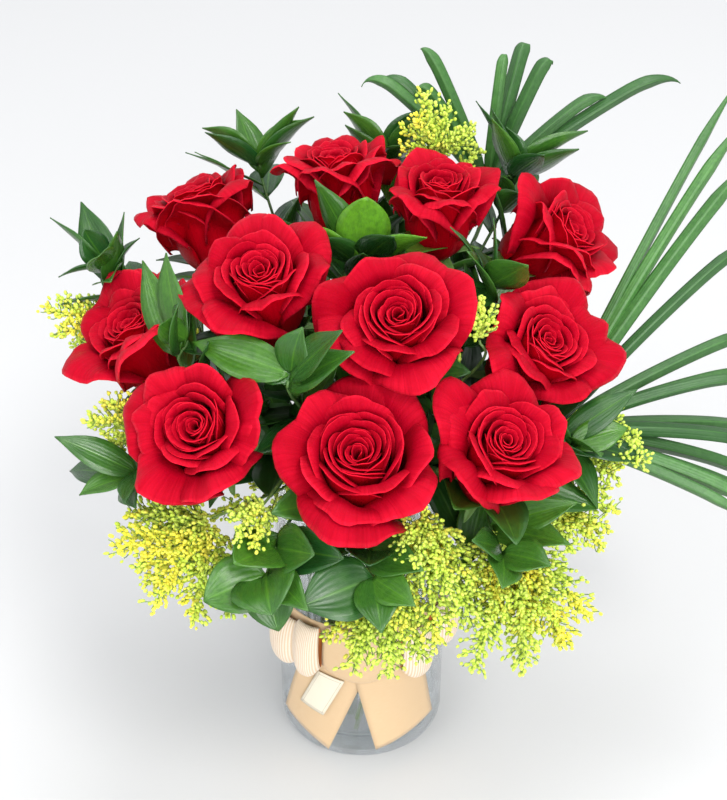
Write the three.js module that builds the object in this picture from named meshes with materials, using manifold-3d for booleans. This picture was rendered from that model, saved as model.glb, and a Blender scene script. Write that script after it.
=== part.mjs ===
// Roses in a vase: eleven roses with ruscus, goldenrod and palm in a straight glass vase with a ribbon bow.
// Millimetres, +Z up. The origin is the middle of the vase's foot, the front faces -Y.
import * as THREE from "three";
import { mergeVertices } from "three/addons/utils/BufferGeometryUtils.js";
import Module from "manifold-3d";

const wasm = await Module();
wasm.setup();

// ---- Driving dimensions ----
const GAP = 0.3; // clearance between two pieces that touch

const VASE_RADIUS = 50;
const VASE_HEIGHT = 200;
const VASE_WALL = 3.5;
const VASE_FLOOR = 14; // the thick glass foot
const VASE_EDGE = 1.5; // rounding of the foot and the rim
const VASE_SIDES = 32;

const ROSE_RADIUS = 34;
const ROSE_HEIGHT = 56;
const BLOOM_SIDES = 14;
const CALYX_RADIUS = 5;
const ROSE_STEM = 5; // diameter of a rose stem
const GREEN_STEM = 2.6; // diameter of a foliage stem
const PALM_STEM = 3.2;

const BUNDLE = 0.2; // how tightly the stems are gathered in the vase, as a share of their full spread
const BUNDLE_EDGE = 36; // how far from the middle a stem may stand at the rim
const SPREAD_START = VASE_HEIGHT - 10; // height at which the stems start to fan out
const SPREAD_END = VASE_HEIGHT + 80; // height at which they stand at their full spread
const TWIST = 1.2; // turn of the stem bundle between the foot and the rim, in radians

const LEAF_THICKNESS = 1;
const PALM_THICKNESS = 1.1;
const PALM_WIDTH = 7;
const PLUME_RADIUS = 6;

const BAND_HEIGHT = 92; // height of the middle of the bow
const RIBBON_WIDTH = 30;
const RIBBON_THICKNESS = 1.2;
const TAIL_WIDTH = 34;
const TAIL_LENGTH = 68;
const LOOP_LEAN = 10; // how far the outer loops lean back round the vase
const KNOT_WIDTH = 22;
const KNOT_DEPTH = 11;
const KNOT_HEIGHT = 34;
const LABEL_WIDTH = 16;
const LABEL_LENGTH = 27;
const LABEL_GAP = 3.5; // how far the label hangs below the loops

// Places are [across, back, above the rim of the vase].
// Each rose: middle of the bloom, direction it faces, and its size beside the common one.
const ROSES = [
  { at: [-93, 95, 98], faces: [-0.36, 0.23, 0.9], size: 1 },
  { at: [-14, 90, 124], faces: [-0.1, 0.15, 0.98], size: 0.95 },
  { at: [43, 55, 127], faces: [0.05, -0.05, 1], size: 0.94 },
  { at: [117, 60, 100], faces: [0.66, -0.2, 0.72], size: 1 },
  { at: [-123, 0, 75], faces: [-0.5, -0.1, 0.86], size: 1 },
  { at: [-50, -20, 117], faces: [-0.08, -0.3, 0.95], size: 1 },
  { at: [19, -50, 112], faces: [-0.06, -0.5, 0.87], size: 1 },
  { at: [104, -20, 82], faces: [0.42, -0.35, 0.84], size: 1 },
  { at: [-79, -80, 68], faces: [-0.25, -0.62, 0.74], size: 1 },
  { at: [-3, -110, 70], faces: [0, -0.62, 0.78], size: 1.05 },
  { at: [68, -90, 63], faces: [0.2, -0.5, 0.84], size: 1 },
];

// Each foliage spray: where its stem runs above the rim, then what grows from the numbered stem point.
// A leaf is [stem point, tip, width].
const RUSCUS = [
  { stem: [[-55, 124, 88], [-60, 128, 112]], leaves: [[1, [-93, 136, 130], 18], [1, [-34, 134, 136], 16], [0, [-100, 150, 108], 16]] },
  { stem: [[16, 124, 90], [14, 126, 116]], leaves: [[1, [-10, 132, 142], 16], [1, [36, 126, 146], 16]] },
  { stem: [[-128, 50, 62], [-140, 52, 84]], leaves: [[1, [-152, 52, 108], 16], [1, [-166, 38, 86], 14], [0, [-150, 80, 76], 16]] },
  { stem: [[0, 26, 92], [0, 22, 104]], leaves: [[1, [3, 20, 144], 26], [1, [34, 6, 128], 14], [1, [-34, 30, 122], 14]] },
  { stem: [[84, 100, 100], [85, 102, 116]], leaves: [[1, [82, 104, 145], 16], [1, [128, 106, 142], 18], [0, [76, 92, 122], 12]] },
  { stem: [[66, 8, 82], [66, 6, 100]], leaves: [[1, [46, 6, 134], 9], [1, [80, -2, 118], 12]] },
  { stem: [[-34, -64, 76], [-34, -64, 90]], leaves: [[1, [-28, -62, 116], 14], [1, [-84, -44, 96], 14], [1, [-14, -74, 98], 10]] },
  { stem: [[-88, -34, 70], [-88, -33, 90]], leaves: [[1, [-100, -44, 106], 12], [1, [-90, -6, 106], 12]] },
  { stem: [[-30, -75, 18], [-42, -108, 16], [-46, -124, 12]], leaves: [[1, [-60, -134, 28], 18], [1, [-22, -134, 34], 16], [2, [-42, -150, 10], 20], [2, [-76, -136, 6], 16], [2, [-40, -140, -10], 14]] },
  { stem: [[2, -74, 14], [4, -108, 14], [6, -126, 12]], leaves: [[2, [-28, -144, 10], 18], [2, [10, -156, 4], 16], [2, [26, -148, 14], 14]] },
  { stem: [[60, -48, 14], [66, -86, 12], [70, -110, 14]], leaves: [[2, [92, -126, 20], 16], [2, [68, -138, 16], 16], [1, [108, -92, 32], 16]] },
  { stem: [[-62, -28, 16], [-102, -50, 24], [-118, -60, 24]], leaves: [[2, [-112, -94, 30], 14], [2, [-160, -22, -2], 16], [2, [-146, -66, 16], 14]] },
  { stem: [[14, 74, 26], [26, 108, 40], [30, 122, 50]], leaves: [[2, [50, 150, 62], 18], [2, [8, 150, 62], 18], [1, [66, 134, 54], 18]] },
  { stem: [[-26, 72, 26], [-44, 104, 38], [-50, 116, 46]], leaves: [[2, [-64, 146, 58], 18], [2, [-24, 146, 62], 18], [1, [-92, 126, 48], 18]] },
  { stem: [[66, -18, 22], [94, -42, 34], [108, -54, 40]], leaves: [[2, [120, -78, 50], 14], [2, [138, -48, 46], 14]] },
];

// A plume is [stem point, tip].
const GOLDENROD = [
  { stem: [[-62, 14, 16], [-112, 34, 36], [-146, 34, 58]], plumes: [[1, [-158, 60, 62]], [2, [-172, 26, 76]]] },
  { stem: [[-66, -8, 20], [-108, -28, 34]], plumes: [[1, [-142, -42, 50]], [1, [-146, -18, 32]]] },
  { stem: [[-46, -54, 8], [-76, -80, 12]], plumes: [[1, [-124, -104, 14]], [1, [-126, -82, 4]], [1, [-104, -128, -2]], [1, [-84, -130, -12]]] },
  { stem: [[-34, -62, 30], [-48, -96, 34]], plumes: [[1, [-60, -126, 40]]] },
  { stem: [[10, -66, 6], [14, -100, 0]], plumes: [[1, [-4, -138, -20]], [1, [22, -140, -12]]] },
  { stem: [[26, -62, 22], [32, -96, 26]], plumes: [[1, [26, -134, 30]], [1, [44, -136, 10]]] },
  { stem: [[62, -38, 6], [80, -82, 0]], plumes: [[1, [104, -132, -24]], [1, [60, -134, -18]]] },
  { stem: [[64, -4, 14], [104, -28, 22]], plumes: [[1, [146, -60, 38]], [1, [148, -28, 28]]] },
  { stem: [[64, -26, 8], [94, -60, 8]], plumes: [[1, [124, -92, 6]], [1, [134, -70, 14]]] },
  { stem: [[46, 104, 100], [44, 106, 126]], plumes: [[1, [38, 106, 166]], [1, [62, 100, 150]], [1, [24, 108, 146]]] },
  { stem: [[60, -36, 76], [60, -36, 92]], plumes: [[1, [60, -36, 118]]] },
];

// A palm leaf: where its stalk runs, then the tips of the leaflets that fan out from the stalk's end.
const PALMS = [
  {
    stem: [[70, 130, 62], [76, 142, 88]],
    tips: [[-6, 152, 152], [8, 168, 146], [26, 150, 148], [32, 156, 170], [84, 156, 166], [100, 170, 172], [114, 150, 168], [150, 156, 136], [196, 164, 148]],
  },
  {
    stem: [[70, 18, 16], [106, 6, 4]],
    tips: [[222, 150, 162], [226, 134, 146], [231, 118, 128], [237, 100, 87], [241, 72, 36], [244, 60, 14], [233, 30, 29], [246, 44, -22], [241, 20, -15], [244, 20, -42], [241, 6, -47], [234, -8, -39], [229, -24, -27], [224, -34, -30]],
  },
];

const LOOPS = [
  { name: "ribbon_loop_left", side: -1, length: 50, width: 17, angle: LOOP_LEAN / VASE_RADIUS, raise: 8 },
  { name: "ribbon_loop_left_inner", side: -1, length: 32, width: 13, angle: -0.75, raise: -2 },
  { name: "ribbon_loop_right", side: 1, length: 50, width: 17, angle: LOOP_LEAN / VASE_RADIUS, raise: 10 },
  { name: "ribbon_loop_right_inner", side: 1, length: 30, width: 13, angle: -0.75, raise: -4 },
];

// ---- Colours and finishes ----
const finish = (color, roughness, extra = {}) => ({ color, roughness, metalness: 0, ...extra });
const GLASS = finish(0xd5e6ea, 0.05, { transparent: true, opacity: 0.4 });
const PETAL = finish(0xbe0a23, 0.6);
const STEM = finish(0x4c6b2c, 0.6);
const LEAF = finish(0x2f5a24, 0.35);
const PLUME = finish(0xa8b23c, 0.8);
const PALM = finish(0x23502a, 0.5);
const RIBBON = finish(0xf0d9a8, 0.7);
const PAPER = finish(0xf4efe4, 0.8);

const UP = new THREE.Vector3(0, 0, 1);
const vec = ([x, y, z]) => new THREE.Vector3(x, y, z);
const aboveRim = ([x, y, z]) => new THREE.Vector3(x, y, VASE_HEIGHT + z);
const group = new THREE.Group();

function addPiece(name, geometry, look) {
  const mesh = new THREE.Mesh(geometry, new THREE.MeshStandardMaterial(look));
  mesh.name = name;
  group.add(mesh);
  return mesh;
}

// ---- Joining solids ----
function toSolid(geometry) {
  const bare = geometry.clone();
  bare.deleteAttribute("normal");
  bare.deleteAttribute("uv");
  const merged = mergeVertices(bare, 1e-3);
  const vertProperties = new Float32Array(merged.attributes.position.array);
  const triVerts = new Uint32Array(merged.index.array);
  return new wasm.Manifold(new wasm.Mesh({ numProp: 3, vertProperties, triVerts }));
}

function fromSolid(solid) {
  const { vertProperties, triVerts } = solid.getMesh();
  const geometry = new THREE.BufferGeometry();
  geometry.setAttribute("position", new THREE.BufferAttribute(vertProperties, 3));
  geometry.setIndex(new THREE.BufferAttribute(triVerts, 1));
  geometry.computeVertexNormals();
  return geometry;
}

function join(geometries) {
  return fromSolid(geometries.map(toSolid).reduce((whole, next) => whole.add(next)));
}

// ---- Shape helpers ----
function lathe(profile, sides) {
  const points = profile.map(([radius, height]) => new THREE.Vector2(radius, height));
  return new THREE.LatheGeometry(points, sides).rotateX(Math.PI / 2);
}

// A smooth path that is stepped evenly between its points, so that it meets each of them exactly.
class StemPath extends THREE.CatmullRomCurve3 {
  getPointAt(along) {
    return this.getPoint(along);
  }
  getTangentAt(along) {
    return this.getTangent(along);
  }
}

function rod(points, diameter, sides, stepsBetween) {
  const section = new THREE.Shape();
  for (let i = 0; i < sides; i++) {
    const turn = (2 * Math.PI * i) / sides;
    const x = (diameter / 2) * Math.cos(turn);
    const y = (diameter / 2) * Math.sin(turn);
    if (i === 0) section.moveTo(x, y);
    else section.lineTo(x, y);
  }
  section.closePath();
  const extrudePath = new StemPath(points, false, "centripetal");
  const steps = stepsBetween * (points.length - 1);
  return new THREE.ExtrudeGeometry(section, { steps, extrudePath, curveSegments: 1 });
}

// A thin blade along an arc from base to tip, whose middle is lifted by bow and whose edges follow outline.
function blade({ base, tip, bow, width, thickness, outline, steps }) {
  const middle = base.clone().lerp(tip, 0.5).addScaledVector(UP, bow);
  const arc = new THREE.QuadraticBezierCurve3(base, middle, tip);
  const geometry = new THREE.BoxGeometry(1, 1, 1, steps, 1, 1);
  const corners = geometry.attributes.position;
  const outward = base.clone().add(tip).multiplyScalar(0.5).setZ(0).normalize().add(UP).normalize();
  for (let i = 0; i < corners.count; i++) {
    const along = corners.getX(i) + 0.5;
    const tangent = arc.getTangent(along);
    const side = new THREE.Vector3().crossVectors(outward, tangent).normalize();
    const face = new THREE.Vector3().crossVectors(tangent, side);
    const place = arc.getPoint(along);
    place.addScaledVector(side, corners.getY(i) * width * outline(along));
    place.addScaledVector(face, corners.getZ(i) * thickness);
    corners.setXYZ(i, place.x, place.y, place.z);
  }
  return geometry;
}

const leafOutline = (along) => 0.08 + 0.92 * Math.sin(Math.PI * Math.min(along, 0.98) ** 0.85);
const palmOutline = (along) => Math.min(1, 0.25 + 2.5 * along, 0.06 + 2.2 * (1 - along));

// ---- How the stems run ----
// Every stem keeps its place in one bundle, which turns and widens with height, so no two stems meet.
function spreadAt(height) {
  return BUNDLE + (1 - BUNDLE) * THREE.MathUtils.smoothstep(height, SPREAD_START, SPREAD_END);
}

function bundlePoint(place, height) {
  const turn = -TWIST * Math.max(0, 1 - height / VASE_HEIGHT);
  const reach = spreadAt(height);
  const x = reach * (place.x * Math.cos(turn) - place.y * Math.sin(turn));
  const y = reach * (place.x * Math.sin(turn) + place.y * Math.cos(turn));
  return new THREE.Vector3(x, y, height);
}

const STEM_FOOT = VASE_FLOOR + GAP;
const STEM_FOOT_LIFT = 0.5; // a leaning stem rests on the edge of its cut end
const VASE_HEIGHTS = [STEM_FOOT + STEM_FOOT_LIFT, VASE_HEIGHT * 0.35, VASE_HEIGHT * 0.68, VASE_HEIGHT];

function stemInVase(place) {
  return VASE_HEIGHTS.map((height) => bundlePoint(place, height));
}

// ---- Vase ----
function vaseShape() {
  const inner = VASE_RADIUS - VASE_WALL;
  return lathe(
    [
      [0, 0],
      [VASE_RADIUS - VASE_EDGE * 2, 0],
      [VASE_RADIUS, VASE_EDGE * 2],
      [VASE_RADIUS, VASE_HEIGHT - VASE_EDGE],
      [VASE_RADIUS - VASE_WALL / 2, VASE_HEIGHT],
      [inner, VASE_HEIGHT - VASE_EDGE],
      [inner, VASE_FLOOR + VASE_EDGE * 2],
      [inner - VASE_EDGE * 2, VASE_FLOOR],
      [0, VASE_FLOOR],
    ],
    VASE_SIDES,
  );
}

// ---- Roses ----
function bloomShape(size) {
  const radius = ROSE_RADIUS * size;
  const height = ROSE_HEIGHT * size;
  return lathe(
    [
      [0, 0],
      [CALYX_RADIUS, 0],
      [CALYX_RADIUS * 1.8, height * 0.08],
      [radius * 0.68, height * 0.27],
      [radius * 0.95, height * 0.5],
      [radius, height * 0.75],
      [radius * 0.9, height * 0.92],
      [radius * 0.6, height],
      [radius * 0.3, height * 0.92],
      [0, height * 0.85],
    ],
    BLOOM_SIDES,
  );
}

function addRose({ at, faces, size }, index) {
  const facing = vec(faces).normalize();
  const base = aboveRim(at).addScaledVector(facing, -ROSE_HEIGHT * size * 0.5);
  const bloom = addPiece(`rose_bloom_${index + 1}`, bloomShape(size), PETAL);
  bloom.position.copy(base);
  bloom.quaternion.setFromUnitVectors(UP, facing);

  const place = base.clone().divideScalar(spreadAt(base.z));
  const neck = base.clone().addScaledVector(facing, -14);
  const path = [
    ...stemInVase(place),
    bundlePoint(place, (VASE_HEIGHT + neck.z) / 2),
    neck,
    base.addScaledVector(facing, -GAP),
  ];
  addPiece(`rose_stem_${index + 1}`, rod(path, ROSE_STEM, 6, 2), STEM);
}

// ---- Foliage ----
function sprayStem(points, diameter) {
  const first = points[0];
  const place = first.clone().divideScalar(spreadAt(first.z));
  place.setZ(0).clampLength(0, BUNDLE_EDGE / spreadAt(VASE_HEIGHT));
  return rod([...stemInVase(place), ...points], diameter, 5, 1);
}

function addRuscus({ stem, leaves }, index) {
  const points = stem.map(aboveRim);
  const solids = leaves.map(([from, tip, width]) =>
    blade({
      base: points[from],
      tip: aboveRim(tip),
      bow: 3,
      width,
      thickness: LEAF_THICKNESS,
      outline: leafOutline,
      steps: 4,
    }),
  );
  addPiece(`ruscus_${index + 1}`, join([sprayStem(points, GREEN_STEM), ...solids]), LEAF);
}

function plumeShape(base, tip) {
  const length = base.distanceTo(tip);
  const geometry = lathe(
    [
      [0, -1],
      [PLUME_RADIUS * 0.35, 1],
      [PLUME_RADIUS, length * 0.45],
      [PLUME_RADIUS * 0.7, length * 0.75],
      [0, length],
    ],
    6,
  );
  const along = tip.clone().sub(base).normalize();
  geometry.applyQuaternion(new THREE.Quaternion().setFromUnitVectors(UP, along));
  return geometry.translate(base.x, base.y, base.z);
}

function addGoldenrod({ stem, plumes }, index) {
  const points = stem.map(aboveRim);
  const solids = plumes.map(([from, tip]) => plumeShape(points[from], aboveRim(tip)));
  addPiece(`goldenrod_${index + 1}`, join([sprayStem(points, GREEN_STEM), ...solids]), PLUME);
}

function addPalm({ stem, tips }, index) {
  const points = stem.map(aboveRim);
  const solids = tips.map((tip) =>
    blade({
      base: points.at(-1),
      tip: aboveRim(tip),
      bow: 12,
      width: PALM_WIDTH,
      thickness: PALM_THICKNESS,
      outline: palmOutline,
      steps: 4,
    }),
  );
  addPiece(`palm_leaf_${index + 1}`, join([sprayStem(points, PALM_STEM), ...solids]), PALM);
}

// ---- Ribbon bow ----
const BAND_INNER = VASE_RADIUS + GAP;
const BAND_OUTER = BAND_INNER + RIBBON_THICKNESS;
const LEFT_TAIL_INNER = BAND_OUTER + GAP;
const RIGHT_TAIL_INNER = LEFT_TAIL_INNER + RIBBON_THICKNESS + GAP; // the right tail lies over the left
const KNOT_BACK = RIGHT_TAIL_INNER + GAP; // the knot's round back lies between the tops of the tails
const LOOP_WIDTH = RIBBON_WIDTH - 4; // the gathered loops are a little narrower than the band

// Bends a flat sheet round the vase: x becomes the way round and -y the depth outside the inner radius.
function wrapRoundVase(geometry, innerRadius) {
  const corners = geometry.attributes.position;
  for (let i = 0; i < corners.count; i++) {
    const turn = corners.getX(i) / VASE_RADIUS;
    const radius = innerRadius - corners.getY(i);
    corners.setXYZ(i, radius * Math.sin(turn), -radius * Math.cos(turn), corners.getZ(i));
  }
  return geometry;
}

function bandShape() {
  const low = BAND_HEIGHT - RIBBON_WIDTH / 2;
  const high = BAND_HEIGHT + RIBBON_WIDTH / 2;
  return lathe(
    [[BAND_INNER, low], [BAND_OUTER, low], [BAND_OUTER, high], [BAND_INNER, high], [BAND_INNER, low]],
    VASE_SIDES,
  );
}

// A sheet of the given size, its middle turned by lean and moved to (across, height).
function sheetOnVase({ width, length, thickness, lean, across, height, slant, innerRadius, flip }) {
  const geometry = new THREE.BoxGeometry(width, thickness, length, 6, 1, 6);
  geometry.translate(0, -thickness / 2, 0);
  const corners = geometry.attributes.position;
  for (let i = 0; i < corners.count; i++) {
    const below = 0.5 - corners.getZ(i) / length;
    const drop = slant * below * (0.5 + (flip * corners.getX(i)) / width);
    corners.setZ(i, corners.getZ(i) - drop);
  }
  geometry.rotateY(lean).translate(across, 0, height);
  return wrapRoundVase(geometry, innerRadius);
}

function addTails() {
  const common = { width: TAIL_WIDTH, length: TAIL_LENGTH, thickness: RIBBON_THICKNESS, slant: 16 };
  const height = BAND_HEIGHT - TAIL_LENGTH / 2 - 2;
  const left = sheetOnVase({ ...common, lean: 0.35, across: -24, height, innerRadius: LEFT_TAIL_INNER, flip: 1 });
  const right = sheetOnVase({ ...common, lean: -0.35, across: 24, height, innerRadius: RIGHT_TAIL_INNER, flip: -1 });
  addPiece("ribbon_tail_left", left, RIBBON);
  addPiece("ribbon_tail_right", right, RIBBON);
}

function addLabel() {
  const label = sheetOnVase({
    width: LABEL_WIDTH,
    length: LABEL_LENGTH,
    thickness: 0.6,
    lean: 0.45,
    across: -27,
    height: BAND_HEIGHT - (LOOP_WIDTH + LABEL_LENGTH) / 2 - LABEL_GAP,
    slant: 0,
    innerRadius: RIGHT_TAIL_INNER,
    flip: 1,
  });
  addPiece("label", label, PAPER);
}

function knotShape() {
  const geometry = new THREE.SphereGeometry(0.5, 12, 8);
  geometry.scale(KNOT_WIDTH, KNOT_DEPTH, KNOT_HEIGHT);
  return geometry.translate(0, -KNOT_BACK - KNOT_DEPTH / 2, BAND_HEIGHT);
}

// A standing loop of ribbon: a strip that runs out from the knot and folds back to it.
function loopShape({ side, length, width, angle, raise }) {
  const outline = new THREE.CatmullRomCurve3(
    [
      [0, 1.4],
      [length * 0.5, width * 0.42],
      [length * 0.9, width * 0.4],
      [length, 0],
      [length * 0.9, -width * 0.4],
      [length * 0.5, -width * 0.42],
      [0, -1.4],
    ].map(([x, y]) => new THREE.Vector3(x, y, 0)),
  );
  const geometry = new THREE.BoxGeometry(1, RIBBON_THICKNESS, LOOP_WIDTH, 12, 1, 1);
  const corners = geometry.attributes.position;
  for (let i = 0; i < corners.count; i++) {
    const along = corners.getX(i) + 0.5;
    const tangent = outline.getTangentAt(along);
    const place = outline.getPointAt(along);
    const depth = corners.getY(i);
    corners.setXYZ(i, place.x - tangent.y * depth, place.y + tangent.x * depth, corners.getZ(i));
  }
  geometry.rotateZ(angle);
  geometry.rotateY(-THREE.MathUtils.degToRad(raise));
  return side > 0 ? geometry : geometry.rotateX(Math.PI).rotateZ(Math.PI);
}

function addLoop(loop) {
  const mesh = addPiece(loop.name, loopShape(loop), RIBBON);
  const forward = loop.angle < 0 ? 2.5 : -1.5;
  const from = KNOT_WIDTH / 2 + (loop.angle < 0 ? 0 : GAP);
  mesh.position.set(loop.side * from, -KNOT_BACK - KNOT_DEPTH / 2 - forward, BAND_HEIGHT);
}

// ---- The whole object ----
addPiece("vase", vaseShape(), GLASS);
ROSES.forEach(addRose);
RUSCUS.forEach(addRuscus);
GOLDENROD.forEach(addGoldenrod);
PALMS.forEach(addPalm);
addPiece("ribbon_band", bandShape(), RIBBON);
addPiece("ribbon_knot", knotShape(), RIBBON);
LOOPS.forEach(addLoop);
addTails();
addLabel();

export default group;
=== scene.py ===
import math
import random

import bpy
from bpy.props import FloatProperty, FloatVectorProperty, IntProperty, PointerProperty
from bpy.types import Operator, Panel, PropertyGroup
from mathutils import Matrix, Vector, noise


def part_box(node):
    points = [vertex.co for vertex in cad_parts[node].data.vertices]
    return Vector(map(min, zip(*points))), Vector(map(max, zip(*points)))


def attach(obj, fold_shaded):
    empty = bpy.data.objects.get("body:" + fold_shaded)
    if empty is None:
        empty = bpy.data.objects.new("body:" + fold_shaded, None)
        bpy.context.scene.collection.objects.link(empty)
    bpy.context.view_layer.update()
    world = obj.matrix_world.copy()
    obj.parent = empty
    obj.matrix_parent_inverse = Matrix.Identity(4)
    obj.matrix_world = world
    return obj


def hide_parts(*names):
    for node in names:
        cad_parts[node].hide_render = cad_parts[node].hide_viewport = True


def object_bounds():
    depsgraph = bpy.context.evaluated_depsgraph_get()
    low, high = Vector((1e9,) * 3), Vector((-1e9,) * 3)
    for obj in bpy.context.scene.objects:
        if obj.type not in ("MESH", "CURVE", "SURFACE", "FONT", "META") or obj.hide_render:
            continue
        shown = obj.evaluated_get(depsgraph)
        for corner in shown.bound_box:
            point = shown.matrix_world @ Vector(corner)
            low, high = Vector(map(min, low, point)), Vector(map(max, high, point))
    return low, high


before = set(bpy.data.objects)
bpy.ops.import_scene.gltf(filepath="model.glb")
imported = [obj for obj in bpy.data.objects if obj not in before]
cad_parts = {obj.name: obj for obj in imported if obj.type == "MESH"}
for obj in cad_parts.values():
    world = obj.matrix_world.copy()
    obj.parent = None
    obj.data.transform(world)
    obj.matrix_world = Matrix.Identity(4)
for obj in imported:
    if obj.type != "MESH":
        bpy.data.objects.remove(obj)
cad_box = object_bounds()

bl_info = {
    "name": "Roses in a Vase",
    "version": (1, 0, 0),
    "blender": (4, 5, 0),
    "location": "View3D > Sidebar > Bouquet",
    "description": "Builds a bouquet of red roses and foliage in a glass vase with a ribbon bow",
    "category": "Add Mesh",
}

MM = 0.001
UP = Vector((0, 0, 1))
GOLDEN_TURN = math.radians(137.508)
VASE_LOW, VASE_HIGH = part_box("vase")
RIM_HEIGHT = VASE_HIGH[2]
VASE_RADIUS = (VASE_HIGH[0] - VASE_LOW[0]) / 2

# ---- The layout of the bouquet, in millimetres: across, back, above the rim of the vase ----
STEM_BUNDLE = 0.2  # how tightly the stems are gathered in the vase, as a share of their full spread
BUNDLE_EDGE = 36  # how far from the middle a stem may stand at the rim
SPREAD_START = -10
SPREAD_END = 80
TWIST = 1.2  # turn of the bundle between the foot and the rim, in radians
SUNK = 13  # how far a bloom sits down over the end of its stem
SPRIG_ROOM = 6 * MM  # how far a goldenrod sprig keeps from the petals
GOLDENROD_STEM = 0.0012  # radii of the stems and twigs that have no setting of their own
GOLDENROD_TWIG = 0.00028
PALM_STEM = 0.0017
SEPAL_THICKNESS = 0.6 * MM
PALM_THICKNESS = 0.45 * MM
LABEL_THICKNESS = 0.0003
STEM_GREENS = ((0.1, 0.22, 0.05), (0.04, 0.1, 0.02))
STEM_FOOT = 15  # height of the longest stem's cut end above the table
STEM_ENDS = (52, 60, 44, 64, 56, 48, 15, 58, 62, 50, 66)  # cut ends of the others, which are shorter

# Each rose: how far it has opened, how far its outer petals fold back, the turn of its spiral, its seed.
ROSES = [
    {"open": 0.55, "fold": 0.8, "spin": 10, "seed": 11, "width": 1.18},
    {"open": 0.5, "fold": 0.7, "spin": 80, "seed": 12, "width": 1.1},
    {"open": 0.6, "fold": 0.8, "spin": 150, "seed": 13, "width": 1.08},
    {"open": 0.6, "fold": 0.8, "spin": 200, "seed": 14, "width": 1.16},
    {"open": 0.55, "fold": 0.6, "spin": 30, "seed": 15, "width": 1.24},
    {"open": 0.6, "fold": 0.9, "spin": 290, "seed": 16, "width": 1.2},
    {"open": 0.8, "fold": 0.95, "spin": 330, "seed": 17, "width": 1.22},
    {"open": 0.6, "fold": 0.8, "spin": 120, "seed": 18, "width": 1.2},
    {"open": 0.7, "fold": 0.8, "spin": 60, "seed": 19, "width": 1.12},
    {"open": 1.0, "fold": 1.0, "spin": 0, "seed": 20, "width": 1.22},
    {"open": 0.7, "fold": 0.7, "spin": 250, "seed": 21, "width": 1.14},
]

# A leaf is [stem point it grows from, tip, width].
RUSCUS = [
    {"stem": [(-55, 124, 88), (-60, 128, 112)],
     "leaves": [(1, (-93, 136, 130), 22), (1, (-34, 134, 136), 20), (0, (-100, 150, 108), 18)]},
    {"stem": [(16, 124, 90), (14, 126, 116)],
     "leaves": [(1, (-10, 132, 142), 20), (1, (36, 126, 146), 20)]},
    {"stem": [(-128, 50, 62), (-140, 52, 84)],
     "leaves": [(1, (-152, 52, 108), 20), (1, (-166, 38, 86), 16), (0, (-150, 80, 76), 18)]},
    {"stem": [(0, 26, 92), (0, 22, 104)],
     "leaves": [(1, (3, 20, 144), 29), (1, (34, 6, 128), 16), (1, (-34, 30, 122), 18)]},
    {"stem": [(84, 100, 100), (85, 102, 116)],
     "leaves": [(1, (82, 104, 145), 20), (1, (128, 106, 142), 22), (0, (76, 92, 122), 14)]},
    {"stem": [(66, 8, 82), (66, 6, 100)],
     "leaves": [(1, (46, 6, 134), 11), (1, (80, -2, 118), 14)]},
    {"stem": [(-34, -64, 76), (-34, -64, 90)],
     "leaves": [(1, (-28, -62, 116), 20), (1, (-84, -44, 96), 22), (1, (-14, -74, 98), 14)]},
    {"stem": [(-88, -34, 70), (-88, -33, 90)],
     "leaves": [(1, (-100, -44, 106), 15), (1, (-90, -6, 106), 15)]},
    {"stem": [(-30, -75, 18), (-42, -108, 16), (-46, -124, 12)],
     "leaves": [(1, (-60, -134, 28), 30), (1, (-22, -134, 34), 26), (2, (-42, -150, 10), 34),
                (2, (-76, -136, 6), 30), (2, (-40, -140, -10), 26), (1, (-8, -132, 30), 24)]},
    {"stem": [(2, -74, 14), (4, -108, 14), (6, -126, 12)],
     "leaves": [(2, (-28, -144, 10), 32), (2, (10, -156, 4), 22), (2, (26, -148, 14), 18),
                (1, (4, -142, 34), 24), (1, (30, -134, 24), 22), (0, (-20, -112, 8), 22),
                (0, (24, -110, 6), 24)]},
    {"stem": [(60, -48, 14), (66, -86, 12), (70, -110, 14)],
     "leaves": [(2, (92, -126, 20), 20), (2, (68, -138, 16), 20), (1, (108, -92, 32), 18)]},
    {"stem": [(-62, -28, 16), (-102, -50, 24), (-118, -60, 24)],
     "leaves": [(2, (-112, -94, 30), 18), (2, (-160, -22, -2), 18), (2, (-146, -66, 16), 16)]},
    {"stem": [(14, 74, 26), (26, 108, 40), (30, 122, 50)],
     "leaves": [(2, (50, 150, 62), 20), (2, (8, 150, 62), 20), (1, (66, 134, 54), 20)]},
    {"stem": [(-26, 72, 26), (-44, 104, 38), (-50, 116, 46)],
     "leaves": [(2, (-64, 146, 58), 20), (2, (-24, 146, 62), 20), (1, (-92, 126, 48), 20)]},
    {"stem": [(66, -18, 22), (94, -42, 34), (108, -54, 40)],
     "leaves": [(2, (120, -78, 50), 18), (2, (138, -48, 46), 18)]},
]

LIGHT_SPRAY = 4  # the spray whose leaves are young and light
FEWER_LEAVES = {9: 2, 10: 0, 11: 3, 12: 5}  # sprays with fewer leaves along the stem than the rest
ROSE_LEAVES = {10: 9, 9: 10, 11: 10}  # roses with fewer leaves below them than the rest

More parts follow.
